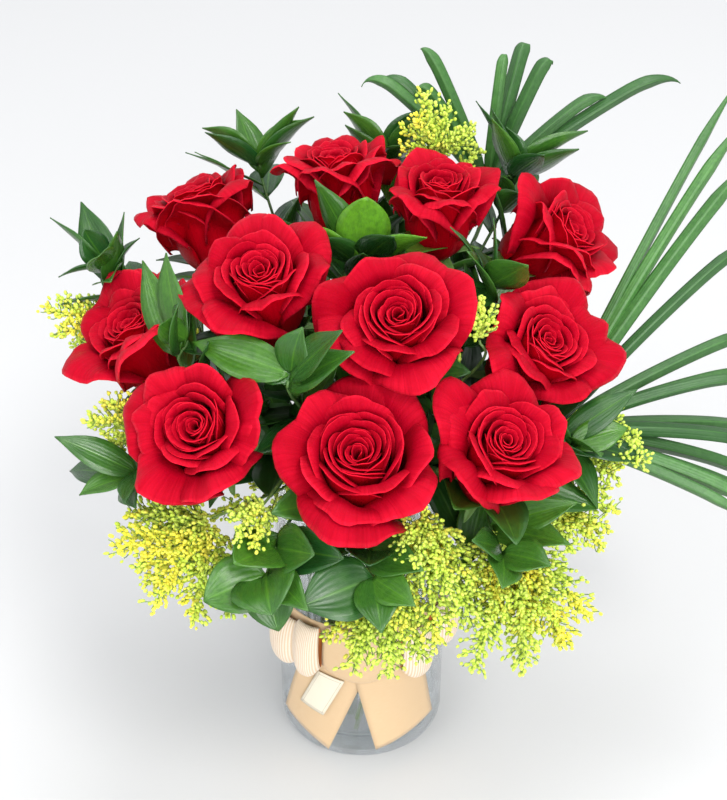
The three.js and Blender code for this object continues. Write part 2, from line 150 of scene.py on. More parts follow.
# A plume is [stem point it grows from, tip].
GOLDENROD = [
    {"stem": [(-62, 14, 16), (-112, 34, 36), (-146, 34, 58)],
     "plumes": [(1, (-158, 60, 62)), (2, (-172, 26, 76))]},
    {"stem": [(-66, -8, 20), (-108, -28, 34)], "plumes": [(1, (-142, -42, 50)), (1, (-146, -18, 32))]},
    {"stem": [(-46, -54, 8), (-76, -80, 12)],
     "plumes": [(1, (-124, -104, 14)), (1, (-126, -82, 4)), (1, (-104, -128, -2)), (1, (-84, -130, -12))]},
    {"stem": [(-34, -62, 30), (-48, -96, 34)], "plumes": [(1, (-60, -126, 40))]},
    {"stem": [(10, -66, 6), (14, -100, 0)],
     "plumes": [(1, (-4, -138, -20)), (1, (22, -140, -12)), (1, (-6, -142, -36)), (1, (14, -144, -38))]},
    {"stem": [(26, -62, 22), (32, -96, 26)],
     "plumes": [(1, (26, -134, 30)), (1, (44, -136, 10)), (1, (38, -144, -18))]},
    {"stem": [(62, -38, 6), (80, -82, 0)],
     "plumes": [(1, (104, -132, -24)), (1, (60, -134, -18)), (1, (54, -142, -34)), (1, (82, -140, -30))]},
    {"stem": [(64, -4, 14), (104, -28, 22)], "plumes": [(1, (146, -60, 38)), (1, (148, -28, 28))]},
    {"stem": [(64, -26, 8), (94, -60, 8)], "plumes": [(1, (124, -92, 6)), (1, (134, -70, 14))]},
    {"stem": [(46, 104, 100), (44, 106, 126)],
     "plumes": [(1, (38, 106, 166)), (1, (62, 100, 150)), (1, (24, 108, 146))]},
    {"stem": [(60, -36, 76), (60, -36, 92)], "plumes": [(1, (60, -36, 118))]},
]

# A palm leaf: where its stalk runs, and the tips of its leaflets.
PALMS = [
    {"stem": [(70, 130, 62), (76, 142, 88)], "droop": 14, "lift": 15,
     "tips": [(-6, 152, 152), (8, 168, 146), (26, 150, 148), (32, 156, 170), (84, 156, 166),
              (100, 170, 172), (114, 150, 168), (150, 156, 136), (196, 164, 148)]},
    {"stem": [(70, 18, 16), (106, 6, 4)], "droop": 5, "lift": 0,
     "tips": [(222, 150, 162), (226, 134, 146), (231, 118, 128), (237, 100, 87), (241, 72, 36), (244, 60, 14),
              (233, 30, 29), (246, 44, -22), (241, 20, -15), (244, 20, -42), (241, 6, -47), (234, -8, -39),
              (229, -24, -27), (224, -34, -30)]},
]


def above_rim(place):
    """A place in the bouquet's layout, in metres."""
    return Vector((place[0] * MM, place[1] * MM, RIM_HEIGHT + place[2] * MM))


# ---- Settings ----
def colour(name, description, default):
    return FloatVectorProperty(
        name=name, description=description, subtype="COLOR", size=3, min=0, max=1, default=default
    )


def length(name, description, default):
    return FloatProperty(name=name, description=description, unit="LENGTH", default=default)


class RoseSettings(PropertyGroup):
    petals: IntProperty(name="Petals", description="Petals in one bloom", default=42, min=12)
    thickness: length("Petal thickness", "Thickness of a petal", 0.00045)
    stem: length("Stem", "Diameter of a rose stem", 0.005)
    face: colour("Petal face", "Inner side of a petal", (0.53, 0.0, 0.008))
    back: colour("Petal back", "Outer side of a petal", (0.345, 0.001, 0.012))
    # Painted shade down in the petal folds; the veins and mottling take this colour too.
    deep: colour("Petal fold shade and veins", "Painted shade down in the folds, also the veins and mottling", (0.22, 0.0, 0.004))
    # Painted highlight along the rolled rims of the petals.
    rim: colour("Petal rim highlight", "Painted highlight along the rolled rim", (0.76, 0.012, 0.036))
    green: colour("Stem green", "Skin of the stem and the sepals", (0.1, 0.2, 0.045))


class FoliageSettings(PropertyGroup):
    thickness: length("Leaf thickness", "Thickness of a leaf", 0.0005)
    extra: IntProperty(name="Extra leaves", description="Leaves along each foliage stem", default=16, min=1)
    below: IntProperty(name="Rose leaves", description="Leaves below each rose", default=20, min=1)
    stem: length("Stem", "Diameter of a foliage stem", 0.0024)
    leaf: colour("Leaf", "Upper side of a leaf", (0.012, 0.062, 0.012))
    young: colour("Young leaf", "The lightest leaves", (0.12, 0.32, 0.02))
    palm: colour("Palm", "Palm leaflets", (0.013, 0.066, 0.012))
    palm_rib: colour("Palm rib", "Midline of a palm leaflet", (0.1, 0.27, 0.06))


class GoldenrodSettings(PropertyGroup):
    bud: length("Bud", "Radius of a bud", 0.00118)
    spacing: length("Spacing", "Distance between buds along a twig", 0.0018)
    green: colour("Green buds", "Buds that are still closed", (0.5, 0.66, 0.06))
    yellow: colour("Yellow buds", "Buds that are opening", (0.85, 0.72, 0.02))
    twig: colour("Twig", "Twigs and stem", (0.24, 0.38, 0.09))


class VaseSettings(PropertyGroup):
    wall: length("Wall", "Thickness of the wall", 0.0035)
    foot: length("Foot", "Thickness of the glass foot", 0.014)
    edge: length("Edge", "Rounding of the rim and the foot", 0.0016)
    tint: colour("Tint", "Colour of the glass", (0.84, 0.93, 0.985))


class RibbonSettings(PropertyGroup):
    thickness: length("Thickness", "Thickness of the ribbon", 0.0004)
    cream: colour("Outside", "Outside of the ribbon", (0.6, 0.46, 0.277))
    rib: colour("Ribs", "Raised ribs of the gathered loops", (0.88, 0.81, 0.7))
    # Painted shade inside the loops: their whole inner face takes this darker orange. The fibre streaks of
    # every ribbon also lean towards it.
    inside: colour("Inside", "Painted shade inside the loops, also the fibre streaks", (0.5, 0.15, 0.03))
    paper: colour("Label", "Paper of the label", (0.68, 0.63, 0.51))


class StageSettings(PropertyGroup):
    floor: colour("Floor", "Colour of the floor", (0.535, 0.535, 0.537))
    key: FloatProperty(name="Key light", description="Strength of the main light", unit="POWER", default=60)


# ---- Shader maths ----
class Value:
    """A socket in a material, on which + - * build the material's maths."""

    def __init__(self, look, socket):
        self.look = look
        self.socket = socket

    def maths(self, operation, left, right=0.0):
        return self.look.node("ShaderNodeMath", {"operation": operation}, left, right)

    def __add__(self, other):
        return self.maths("ADD", self, other)

    def __radd__(self, other):
        return self.maths("ADD", other, self)

    def __sub__(self, other):
        return self.maths("SUBTRACT", self, other)

    def __rsub__(self, other):
        return self.maths("SUBTRACT", other, self)

    def __mul__(self, other):
        return self.maths("MULTIPLY", self, other)

    def __rmul__(self, other):
        return self.maths("MULTIPLY", other, self)

    def sine(self):
        return self.maths("SINE", self)

    def absolute(self):
        return self.maths("ABSOLUTE", self)

    def clamped(self):
        return self.look.node("ShaderNodeClamp", {}, self)


class Look:
    """One material, built node by node."""

    def __init__(self, name):
        self.material = bpy.data.materials.new(name)
        self.material.use_nodes = True
        self.tree = self.material.node_tree
        self.tree.nodes.clear()
        self.output = self.tree.nodes.new("ShaderNodeOutputMaterial")

    def node(self, kind, settings, *values, out=0, **named):
        made = self.tree.nodes.new(kind)
        for key, setting in settings.items():
            setattr(made, key, setting)
        for index, value in enumerate(values):
            self.feed(made.inputs[index], value)
        for key, value in named.items():
            self.feed(made.inputs[key.replace("_", " ")], value)
        return Value(self, made.outputs[out])

    def feed(self, socket, value):
        if isinstance(value, Value):
            self.tree.links.new(value.socket, socket)
            return
        if socket.type == "RGBA" and len(value) == 3:
            value = (*value, 1)
        socket.default_value = value

    def place(self, scale=(1, 1, 1), source="Object"):
        made = self.tree.nodes.new("ShaderNodeTexCoord")
        return self.node("ShaderNodeMapping", {}, Vector=Value(self, made.outputs[source]), Scale=scale)

    def uv_parts(self):
        made = self.tree.nodes.new("ShaderNodeTexCoord")
        split = self.tree.nodes.new("ShaderNodeSeparateXYZ")
        self.tree.links.new(made.outputs["UV"], split.inputs[0])
        return Value(self, split.outputs[0]), Value(self, split.outputs[1])

    def attribute(self, name):
        return self.node("ShaderNodeAttribute", {"attribute_name": name}, out=2)

    def noise(self, scale, size, detail=3.0, source="Object", roughness=0.5):
        place = self.place(size, source)
        values = {"Vector": place, "Scale": scale, "Detail": detail, "Roughness": roughness}
        return self.node("ShaderNodeTexNoise", {}, **values)

    def blend(self, share, first, second):
        made = self.tree.nodes.new("ShaderNodeMix")
        made.data_type = "RGBA"
        self.feed(made.inputs[0], share)
        self.feed(made.inputs[6], first)
        self.feed(made.inputs[7], second)
        return Value(self, made.outputs[2])

    def bump(self, height, strength, distance):
        return self.node("ShaderNodeBump", {}, Strength=strength, Distance=distance, Height=height)

    def surface(self, base, roughness, normal=None, **constants):
        """The finished surface; constants are the shader's own values, with _ for each space."""
        made = self.tree.nodes.new("ShaderNodeBsdfPrincipled")
        self.feed(made.inputs["Base Color"], base)
        self.feed(made.inputs["Roughness"], roughness)
        if normal is not None:
            self.feed(made.inputs["Normal"], normal)
        for key, value in constants.items():
            self.feed(made.inputs[key.replace("_", " ")], value)
        self.tree.links.new(made.outputs[0], self.output.inputs["Surface"])
        return self.material


def petal_look(name, tone, settings, back):
    """Velvety petal: painted shade in deep red down in the folds, a painted highlight along the rim, and fine
    veins that run out to the rim.
    """
    look = Look(name)
    _, along = look.uv_parts()
    shade = look.attribute("shade")
    veins = look.noise(1.0, (60, 1.6, 1), 5, "UV", 0.65)
    mottle = look.noise(55.0, (1, 1, 1), 4)
    grain = look.noise(900.0, (1, 1, 1), 2)
    # Painted shade: the petal darkens towards its base, deep in the folds of the bloom.
    fold_shaded = look.blend((along * 1.9 - 0.2).clamped(), settings.deep, tone)
    # Painted highlight: a thin bright line at the very edge of each rim, and a brightening over the rim's
    # outer part that is stronger on some petals than others.
    line = ((along - 0.955) * 26).clamped() * 0.6
    rim_highlight_fade = ((along - 0.72) * 3.2).clamped() * shade * 0.5
    rim_highlighted = look.blend((rim_highlight_fade + line).clamped(), fold_shaded, settings.rim)
    veined = look.blend(((veins - 0.38) * (2.2 if back else 1.5)).clamped() * 0.75, rim_highlighted, settings.deep)
    toned = look.blend(((mottle - 0.5) * 2.4 + (0.5 - shade) * 0.35).clamped() * 0.7, veined, settings.deep)
    height = veins * 0.75 + mottle * 0.2 + grain * 0.05
    return look.surface(
        toned,
        0.38 + veins * 0.22 + grain * 0.06,
        look.bump(height, 0.6 if back else 0.45, 0.0012),
        Specular_IOR_Level=0.16,
        Specular_Tint=(1.0, 0.12, 0.16),
        Sheen_Weight=0.03,
        Sheen_Roughness=0.4,
        Sheen_Tint=(1.0, 0.1, 0.15),
        Subsurface_Weight=0.08,
        Subsurface_Radius=(0.6, 0.04, 0.04),
        Subsurface_Scale=0.002,
    )


def leaf_look(name, dark, light, gloss, veins_across):
    """Waxy leaf with long fine veins, a paler midline and soft blotches."""
    look = Look(name)
    across, _ = look.uv_parts()
    shade = look.attribute("shade")
    lines = (across * veins_across * 2 * math.pi).sine()
    speck = look.noise(420.0, (1, 1, 1), 3)
    blotch = look.noise(90.0, (1, 1, 1), 4)
    fine = look.noise(1.0, (90, 6, 1), 4, "UV", 0.65)
    midline = (1 - (across - 0.5).absolute() * 26).clamped()
    tone = look.blend((shade + blotch * 0.35 - 0.17).clamped(), dark, light)
    streaked = look.blend((fine * 0.45 + (speck - 0.55) * 1.2).clamped(), tone, dark)
    ribbed = look.blend(midline * 0.3, streaked, light)
    height = lines * 0.18 + fine * 0.3 + blotch * 0.35 - midline * 0.4
    return look.surface(
        ribbed,
        gloss + fine * 0.16,
        look.bump(height, 0.3, 0.0007),
        Specular_IOR_Level=0.45,
        Subsurface_Weight=0.06,
        Subsurface_Radius=(0.2, 0.5, 0.05),
        Subsurface_Scale=0.002,
    )


def skin_look(name, tone, dark):
    """Skin of a stem: waxy green with long streaks and darker specks."""
    look = Look(name)
    streaks = look.noise(260.0, (1, 1, 0.08), 4)
    specks = look.noise(900.0, (1, 1, 1), 2)
    mixed = look.blend((streaks * 1.6 - 0.4).clamped(), dark, tone)
    speckled = look.blend(((specks - 0.62) * 5).clamped(), mixed, (0.2, 0.12, 0.05))
    return look.surface(speckled, 0.4 + streaks * 0.25, look.bump(streaks + specks * 0.4, 0.3, 0.0006))


def bud_look(settings):
    """Goldenrod buds: green ones that turn yellow in patches, with a soft dusty skin."""
    look = Look("goldenrod_buds")
    patch = look.noise(26.0, (1, 1, 1), 2)
    single = look.attribute("shade")
    grain = look.noise(1500.0, (1, 1, 1), 2)
    ripe = ((patch - 0.51) * 7 + (single - 0.5) * 1.3).clamped()
    tone = look.blend(ripe, settings.green, settings.yellow)
    pale = look.blend((single * 0.35).clamped(), tone, (0.62, 0.68, 0.22))
    return look.surface(
        pale,
        0.6 + grain * 0.2,
        look.bump(grain, 0.25, 0.0003),
        Subsurface_Weight=0.1,
        Subsurface_Radius=(0.4, 0.5, 0.1),
        Subsurface_Scale=0.001,
    )


def glass_look(settings):
    """Clear glass with the faintest film where hands and water have been."""
    look = Look("vase_glass")
    film = look.noise(30.0, (1, 1, 0.3), 5)
    wave = look.noise(14.0, (1, 1, 0.4), 2)
    return look.surface(
        settings.tint,
        ((film - 0.5) * 0.12).clamped(),
        look.bump(wave, 0.05, 0.002),
        Transmission_Weight=1.0,
        IOR=1.47,
        Alpha=0.42,
    )


def ribbon_look(name, tone, rib, settings, ribs):
    """Satin ribbon: a fine weave across and along, and soft streaks."""
    look = Look(name)
    across, along = look.uv_parts()
    weave = (across * 420).sine() * 0.5 + (along * 620).sine() * 0.5
    cloud = look.noise(45.0, (1, 1, 1), 3)
    fibre = look.noise(1.0, (8, 160, 1), 4, "UV", 0.6)
    pleat = (across * ribs * 2 * math.pi).sine() * 0.5 + 0.5
    mixed = look.blend((pleat * 0.8 + cloud * 0.3).clamped(), tone, rib)
    # Fibre streaks, tinted towards the painted shade colour of the loop insides.
    fibred = look.blend((fibre * 0.3).clamped(), mixed, settings.inside)
    return look.surface(
        fibred,
        0.45 + fibre * 0.2,
        look.bump(weave * 0.15 + fibre * 0.4 + pleat * (1.6 if ribs > 4 else 0.2), 0.3, 0.0004),
        Sheen_Weight=0.15,
        Sheen_Roughness=0.4,
    )


def paper_look(settings):
    """Label paper with a thin plain border and a soft tooth."""
    look = Look("label_paper")
    across, along = look.uv_parts()
    tooth = look.noise(1600.0, (1, 1, 1), 3)
    edge_across = ((across - 0.5).absolute() - 0.4).absolute()
    edge_along = ((along - 0.5).absolute() - 0.44).absolute()
    inside_across = (0.45 - (across - 0.5).absolute()) * 40
    inside_along = (0.47 - (along - 0.5).absolute()) * 60
    line_across = (1 - edge_across * 90).clamped() * inside_along.clamped()
    line_along = (1 - edge_along * 140).clamped() * inside_across.clamped()
    border = (line_across + line_along).clamped()
    tone = look.blend((tooth * 0.25).clamped(), settings.paper, (0.7, 0.6, 0.42))
    return look.surface(
        look.blend(border * 0.75, tone, (0.16, 0.12, 0.08)), 0.7 + tooth * 0.15, look.bump(tooth, 0.2, 0.0003)
    )


# ---- Mesh helpers ----
class Shape:
    """Collects the points and faces of one piece, with a UV and a shade for each point."""

    def __init__(self):
        self.points = []
        self.faces = []
        self.finishes = []
        self.uvs = []
        self.shades = []

    def grid(self, rows, shade=0.5, finish=0):
        """Rows of (point, uv) pairs, joined into one sheet."""
        start = len(self.points)
        width = len(rows[0])
        for row in rows:
            for point, uv in row:
                self.points.append(point)
                self.uvs.append(uv)
                self.shades.append(shade)
        for down in range(len(rows) - 1):
            for side in range(width - 1):
                corner = start + down * width + side
                self.faces.append((corner, corner + 1, corner + width + 1, corner + width))
                self.finishes.append(finish)

    def build(self, name, looks):
        mesh = bpy.data.meshes.new(name)
        mesh.from_pydata(self.points, [], self.faces)
        layer = mesh.uv_layers.new(name="UVMap")
        for loop in mesh.loops:
            layer.data[loop.index].uv = self.uvs[loop.vertex_index]
        shade = mesh.attributes.new("shade", "FLOAT", "POINT")
        shade.data.foreach_set("value", self.shades)
        for look in looks:
            mesh.materials.append(look)
        mesh.polygons.foreach_set("material_index", self.finishes)
        mesh.polygons.foreach_set("use_smooth", [True] * len(self.faces))
        piece = bpy.data.objects.new(name, mesh)
        bpy.context.scene.collection.objects.link(piece)
        return piece


def settle(piece):
    """Applies the piece's modifiers, so that a plain mesh is left."""
    evaluated = piece.evaluated_get(bpy.context.evaluated_depsgraph_get())
    mesh = bpy.data.meshes.new_from_object(evaluated)
    piece.modifiers.clear()
    piece.data = mesh
    return piece


def thicken(piece, thickness, back=0):
    """Gives a sheet its thickness, with the back's material counted on from the face's."""
    solidify = piece.modifiers.new("Thickness", "SOLIDIFY")
    solidify.thickness = thickness
    solidify.offset = 0.0
    solidify.use_even_offset = False
    solidify.material_offset = back
    return settle(piece)


def joined(name, pieces):
    """One piece from several, which keeps their materials."""
    first = pieces[0]
    with bpy.context.temp_override(
        active_object=first, object=first, selected_objects=pieces, selected_editable_objects=pieces
    ):
        bpy.ops.object.join()
    first.name = name
    first.data.name = name
    return first


def hand_over(piece, slot, *nodes):
    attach(piece, "root")
    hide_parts(*nodes)


def ease(low, high, value):
    share = min(1.0, max(0.0, (value - low) / (high - low)))
    return share * share * (3 - 2 * share)


# ---- Geometry Nodes ----
class Recipe:
    """A Geometry Nodes tree that is built node by node and then run on one piece."""

    def __init__(self, name):
        self.tree = bpy.data.node_groups.new(name, "GeometryNodeTree")
        self.sockets = {}
        self.add_socket("Geometry", "NodeSocketGeometry")
        self.tree.interface.new_socket("Geometry", in_out="OUTPUT", socket_type="NodeSocketGeometry")
        self.inputs = self.tree.nodes.new("NodeGroupInput")
        self.result = self.tree.nodes.new("NodeGroupOutput")

    def add_socket(self, name, kind):
        socket = self.tree.interface.new_socket(name, in_out="INPUT", socket_type=kind)
        self.sockets[name] = socket.identifier

    def given(self, name):
        return self.inputs.outputs[name]

    def node(self, kind, settings=None, **named):
        made = self.tree.nodes.new(kind)
        for key, setting in (settings or {}).items():
            setattr(made, key, setting)
        for key, value in named.items():
            socket = made.inputs[key.replace("_", " ")]
            if isinstance(value, bpy.types.NodeSocket):
                self.tree.links.new(value, socket)
            else:
                socket.default_value = value
        return made

    def run(self, piece, **values):
        modifier = piece.modifiers.new(self.tree.name, "NODES")
        modifier.node_group = self.tree
        for name, value in values.items():
            modifier[self.sockets[name.replace("_", " ")]] = value
        return settle(piece)


def stalk_recipe():
    """Round stalks along a net of edges, as thick as each point says."""
    recipe = Recipe("Round stalks")
    recipe.add_socket("Sides", "NodeSocketInt")
    recipe.add_socket("Skin", "NodeSocketMaterial")
    path = recipe.node("GeometryNodeMeshToCurve", Mesh=recipe.given("Geometry"))
    radius = recipe.node("GeometryNodeInputNamedAttribute", {"data_type": "FLOAT"}, Name="thick")
    section = recipe.node("GeometryNodeCurvePrimitiveCircle", Radius=1.0, Resolution=recipe.given("Sides"))
    tube = recipe.node(
        "GeometryNodeCurveToMesh",
        Curve=path.outputs[0],
        Profile_Curve=section.outputs[0],
        Scale=radius.outputs[0],
        Fill_Caps=True,
    )
    skinned = recipe.node("GeometryNodeSetMaterial", Geometry=tube.outputs[0], Material=recipe.given("Skin"))
    recipe.tree.links.new(skinned.outputs[0], recipe.result.inputs[0])
    return recipe


BUD_OFFSET = 1.25  # how far a bud may stand off its twig, as a share of its radius
BUD_SMALLEST = (0.6, 0.6, 0.8)
BUD_LARGEST = (1.05, 1.05, 1.5)
BUD_INPUTS = (
    ("Bud radius", "NodeSocketFloat"),
    ("Spacing", "NodeSocketFloat"),
    ("Twig radius", "NodeSocketFloat"),
    ("Seed", "NodeSocketInt"),
    ("Bud", "NodeSocketMaterial"),
    ("Twig", "NodeSocketMaterial"),
)


def random_vector(recipe, low, high, seed):
    made = recipe.node("FunctionNodeRandomValue", {"data_type": "FLOAT_VECTOR"}, Seed=seed)
    made.inputs[0].default_value = low
    made.inputs[1].default_value = high
    return made.outputs[0]


def bud_places(recipe, path):
    """Points evenly along the twigs, and the same points moved off them, each with a shade."""
    points = recipe.node(
        "GeometryNodeCurveToPoints", {"mode": "LENGTH"}, Curve=path.outputs[0], Length=recipe.given("Spacing")
    )
    reach = recipe.node("ShaderNodeMath", {"operation": "MULTIPLY"})
    recipe.tree.links.new(recipe.given("Bud radius"), reach.inputs[0])
    reach.inputs[1].default_value = BUD_OFFSET
    offset = recipe.node("ShaderNodeVectorMath", {"operation": "SCALE"})
    spread = random_vector(recipe, (-1, -1, -1), (1, 1, 1), recipe.given("Seed"))
    recipe.tree.links.new(spread, offset.inputs[0])
    recipe.tree.links.new(reach.outputs[0], offset.inputs["Scale"])
    moved = recipe.node("GeometryNodeSetPosition", Geometry=points.outputs[0], Offset=offset.outputs[0])
    single = recipe.node("FunctionNodeRandomValue", {"data_type": "FLOAT"}, Seed=7)
    marked = recipe.node(
        "GeometryNodeStoreNamedAttribute",
        {"data_type": "FLOAT", "domain": "POINT"},
        Geometry=moved.outputs[0],
        Name="shade",
        Value=single.outputs[1],
    )
    return points, marked


def bud_balls(recipe, path):
    """A bud of its own size at each place."""
    points, marked = bud_places(recipe, path)
    ball = recipe.node("GeometryNodeMeshUVSphere", Segments=6, Rings=4, Radius=recipe.given("Bud radius"))
    buds = recipe.node(
        "GeometryNodeInstanceOnPoints",
        Points=marked.outputs[0],
        Instance=ball.outputs[0],
        Rotation=points.outputs["Rotation"],
        Scale=random_vector(recipe, BUD_SMALLEST, BUD_LARGEST, 3),
    )
    solid = recipe.node("GeometryNodeRealizeInstances", Geometry=buds.outputs[0])
    smooth = recipe.node("GeometryNodeSetShadeSmooth", Geometry=solid.outputs[0])
    return recipe.node("GeometryNodeSetMaterial", Geometry=smooth.outputs[0], Material=recipe.given("Bud"))


def bud_recipe():
    """Buds strung along fine twigs, each of its own size and a little off the twig."""
    recipe = Recipe("Bud sprays")
    for name, kind in BUD_INPUTS:
        recipe.add_socket(name, kind)
    path = recipe.node("GeometryNodeMeshToCurve", Mesh=recipe.given("Geometry"))
    coloured = bud_balls(recipe, path)
    thin = recipe.given("Twig radius")
    section = recipe.node("GeometryNodeCurvePrimitiveCircle", Radius=thin, Resolution=5)
    tube = recipe.node(
        "GeometryNodeCurveToMesh", Curve=path.outputs[0], Profile_Curve=section.outputs[0], Fill_Caps=True
    )
    twigs = recipe.node("GeometryNodeSetMaterial", Geometry=tube.outputs[0], Material=recipe.given("Twig"))
    both = recipe.node("GeometryNodeJoinGeometry")
    recipe.tree.links.new(coloured.outputs[0], both.inputs[0])
    recipe.tree.links.new(twigs.outputs[0], both.inputs[0])
    recipe.tree.links.new(both.outputs[0], recipe.result.inputs[0])
    return recipe


def line_piece(name, lines, radius):
    """A net of edges for a recipe to work on; radius turns a share along a line into its thickness."""
    points = []
    edges = []
    thick = []
    for line in lines:
        start = len(points)
        points.extend(line)
        edges.extend((start + i, start + i + 1) for i in range(len(line) - 1))
        thick.extend(radius(i / (len(line) - 1)) for i in range(len(line)))
    mesh = bpy.data.meshes.new(name)
    mesh.from_pydata(points, edges, [])
    mesh.attributes.new("thick", "FLOAT", "POINT").data.foreach_set("value", thick)
    piece = bpy.data.objects.new(name, mesh)
    bpy.context.scene.collection.objects.link(piece)
    return piece


def smooth_path(points, steps=6):
    """Points along a curve that passes through each of the given ones."""
    ends = [points[0] * 2 - points[1], *points, points[-1] * 2 - points[-2]]
    path = []
    for i in range(1, len(ends) - 2):
        before, start, finish, after = ends[i - 1 : i + 3]
        for step in range(steps):
            t = step / steps
            path.append(
                0.5
                * (
                    2 * start
                    + (finish - before) * t
                    + (2 * before - 5 * start + 4 * finish - after) * t**2
                    + (3 * start - before - 3 * finish + after) * t**3
                )
            )
    return [*path, points[-1]]


def along_path(path, share):
    """A place on a path, at a share of its points, and the way the path runs there."""
    spot = share * (len(path) - 1)
    near = min(int(spot), len(path) - 2)
    base = path[near].lerp(path[near + 1], spot - near)
    return base, (path[near + 1] - path[near]).normalized()


def on_arch(base, middle, tip, share):
    """A place on the arch from base to tip, and the way the arch runs there."""
    spot = base * (1 - share) ** 2 + middle * 2 * share * (1 - share) + tip * share**2
    return spot, ((middle - base) * (1 - share) + (tip - middle) * share).normalized()


def ring_point(radius, turn, height):
    return Vector((radius * math.cos(turn), radius * math.sin(turn), height))


def between_corners(corners, across, down):
    """A place between four corners: top left, top right, low left, low right."""
    top_left, top_right, low_left, low_right = (Vector(corner) for corner in corners)
    return top_left.lerp(top_right, across).lerp(low_left.lerp(low_right, across), down)


# ---- Stems ----
def spread_at(height):
    """How far the bundle has opened at a height above the rim, in millimetres."""
    return STEM_BUNDLE + (1 - STEM_BUNDLE) * ease(SPREAD_START, SPREAD_END, height)


def bundle_point(place, height):
    """Where the stem that belongs at place runs at a height above the table, in metres."""
    turn = -TWIST * max(0.0, 1 - height / RIM_HEIGHT)
    reach = spread_at((height - RIM_HEIGHT) / MM)
    turned = Matrix.Rotation(turn, 2) @ Vector((place.x, place.y))
    return Vector((turned.x * reach, turned.y * reach, height))


def stem_in_vase(place, number):
    foot = max(STEM_FOOT, STEM_ENDS[number % len(STEM_ENDS) - 1]) * MM
    heights = (foot, foot + (RIM_HEIGHT - foot) * 0.3, RIM_HEIGHT * 0.68, RIM_HEIGHT)
    return [bundle_point(place, height) for height in heights]


def spray_path(stem, number):
    """The whole path of a foliage stem, from the foot of the vase to its last point."""
    points = [above_rim(place) for place in stem]
    place = Vector((points[0].x, points[0].y)) / spread_at(stem[0][2])
    limit = BUNDLE_EDGE * MM / spread_at(0)
    if place.length > limit:
        place = place.normalized() * limit
    return [*stem_in_vase(place, number), *points]


# ---- Roses ----
# How a bloom settles on its stem: a lean back in degrees, a shift in millimetres, a further drop.
UNSETTLED = (0, (0, 0, 0), 0)
SETTLED = {
    4: (0, (-4, 0, 0), 2),
    5: (0, (5, 0, -2), 0),
    8: (-4, (-9, 0, -2), 2),
    10: (13, (2, 0, 0), 9),
    11: (4, (2, 0, 0), 2),
}


def bloom_frame(number):
    """Base, direction, height and radius of a bloom, measured from its solid and its stem's."""
    bloom = [v.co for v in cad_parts[f"rose_bloom_{number}"].data.vertices]
    stem = [v.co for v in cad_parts[f"rose_stem_{number}"].data.vertices]
    top = max(p.z for p in stem)
    neck = [p for p in stem if p.z > top - 5 * MM]
    base = sum(neck, Vector()) / len(neck)
    middle = sum(bloom, Vector()) / len(bloom)
    facing = (middle - base).normalized()
    along = [(p - base).dot(facing) for p in bloom]
    radius = max(((p - base) - (p - base).dot(facing) * facing).length for p in bloom)
    lean, shift, drop = SETTLED.get(number, UNSETTLED)
    tilted = Matrix.Rotation(math.radians(-lean), 3, "X") @ facing
    moved = base + Vector(shift) * MM - tilted * drop * MM
    return moved, tilted, max(along), radius


BLOOMS = [bloom_frame(number) for number in range(1, len(ROSES) + 1)]


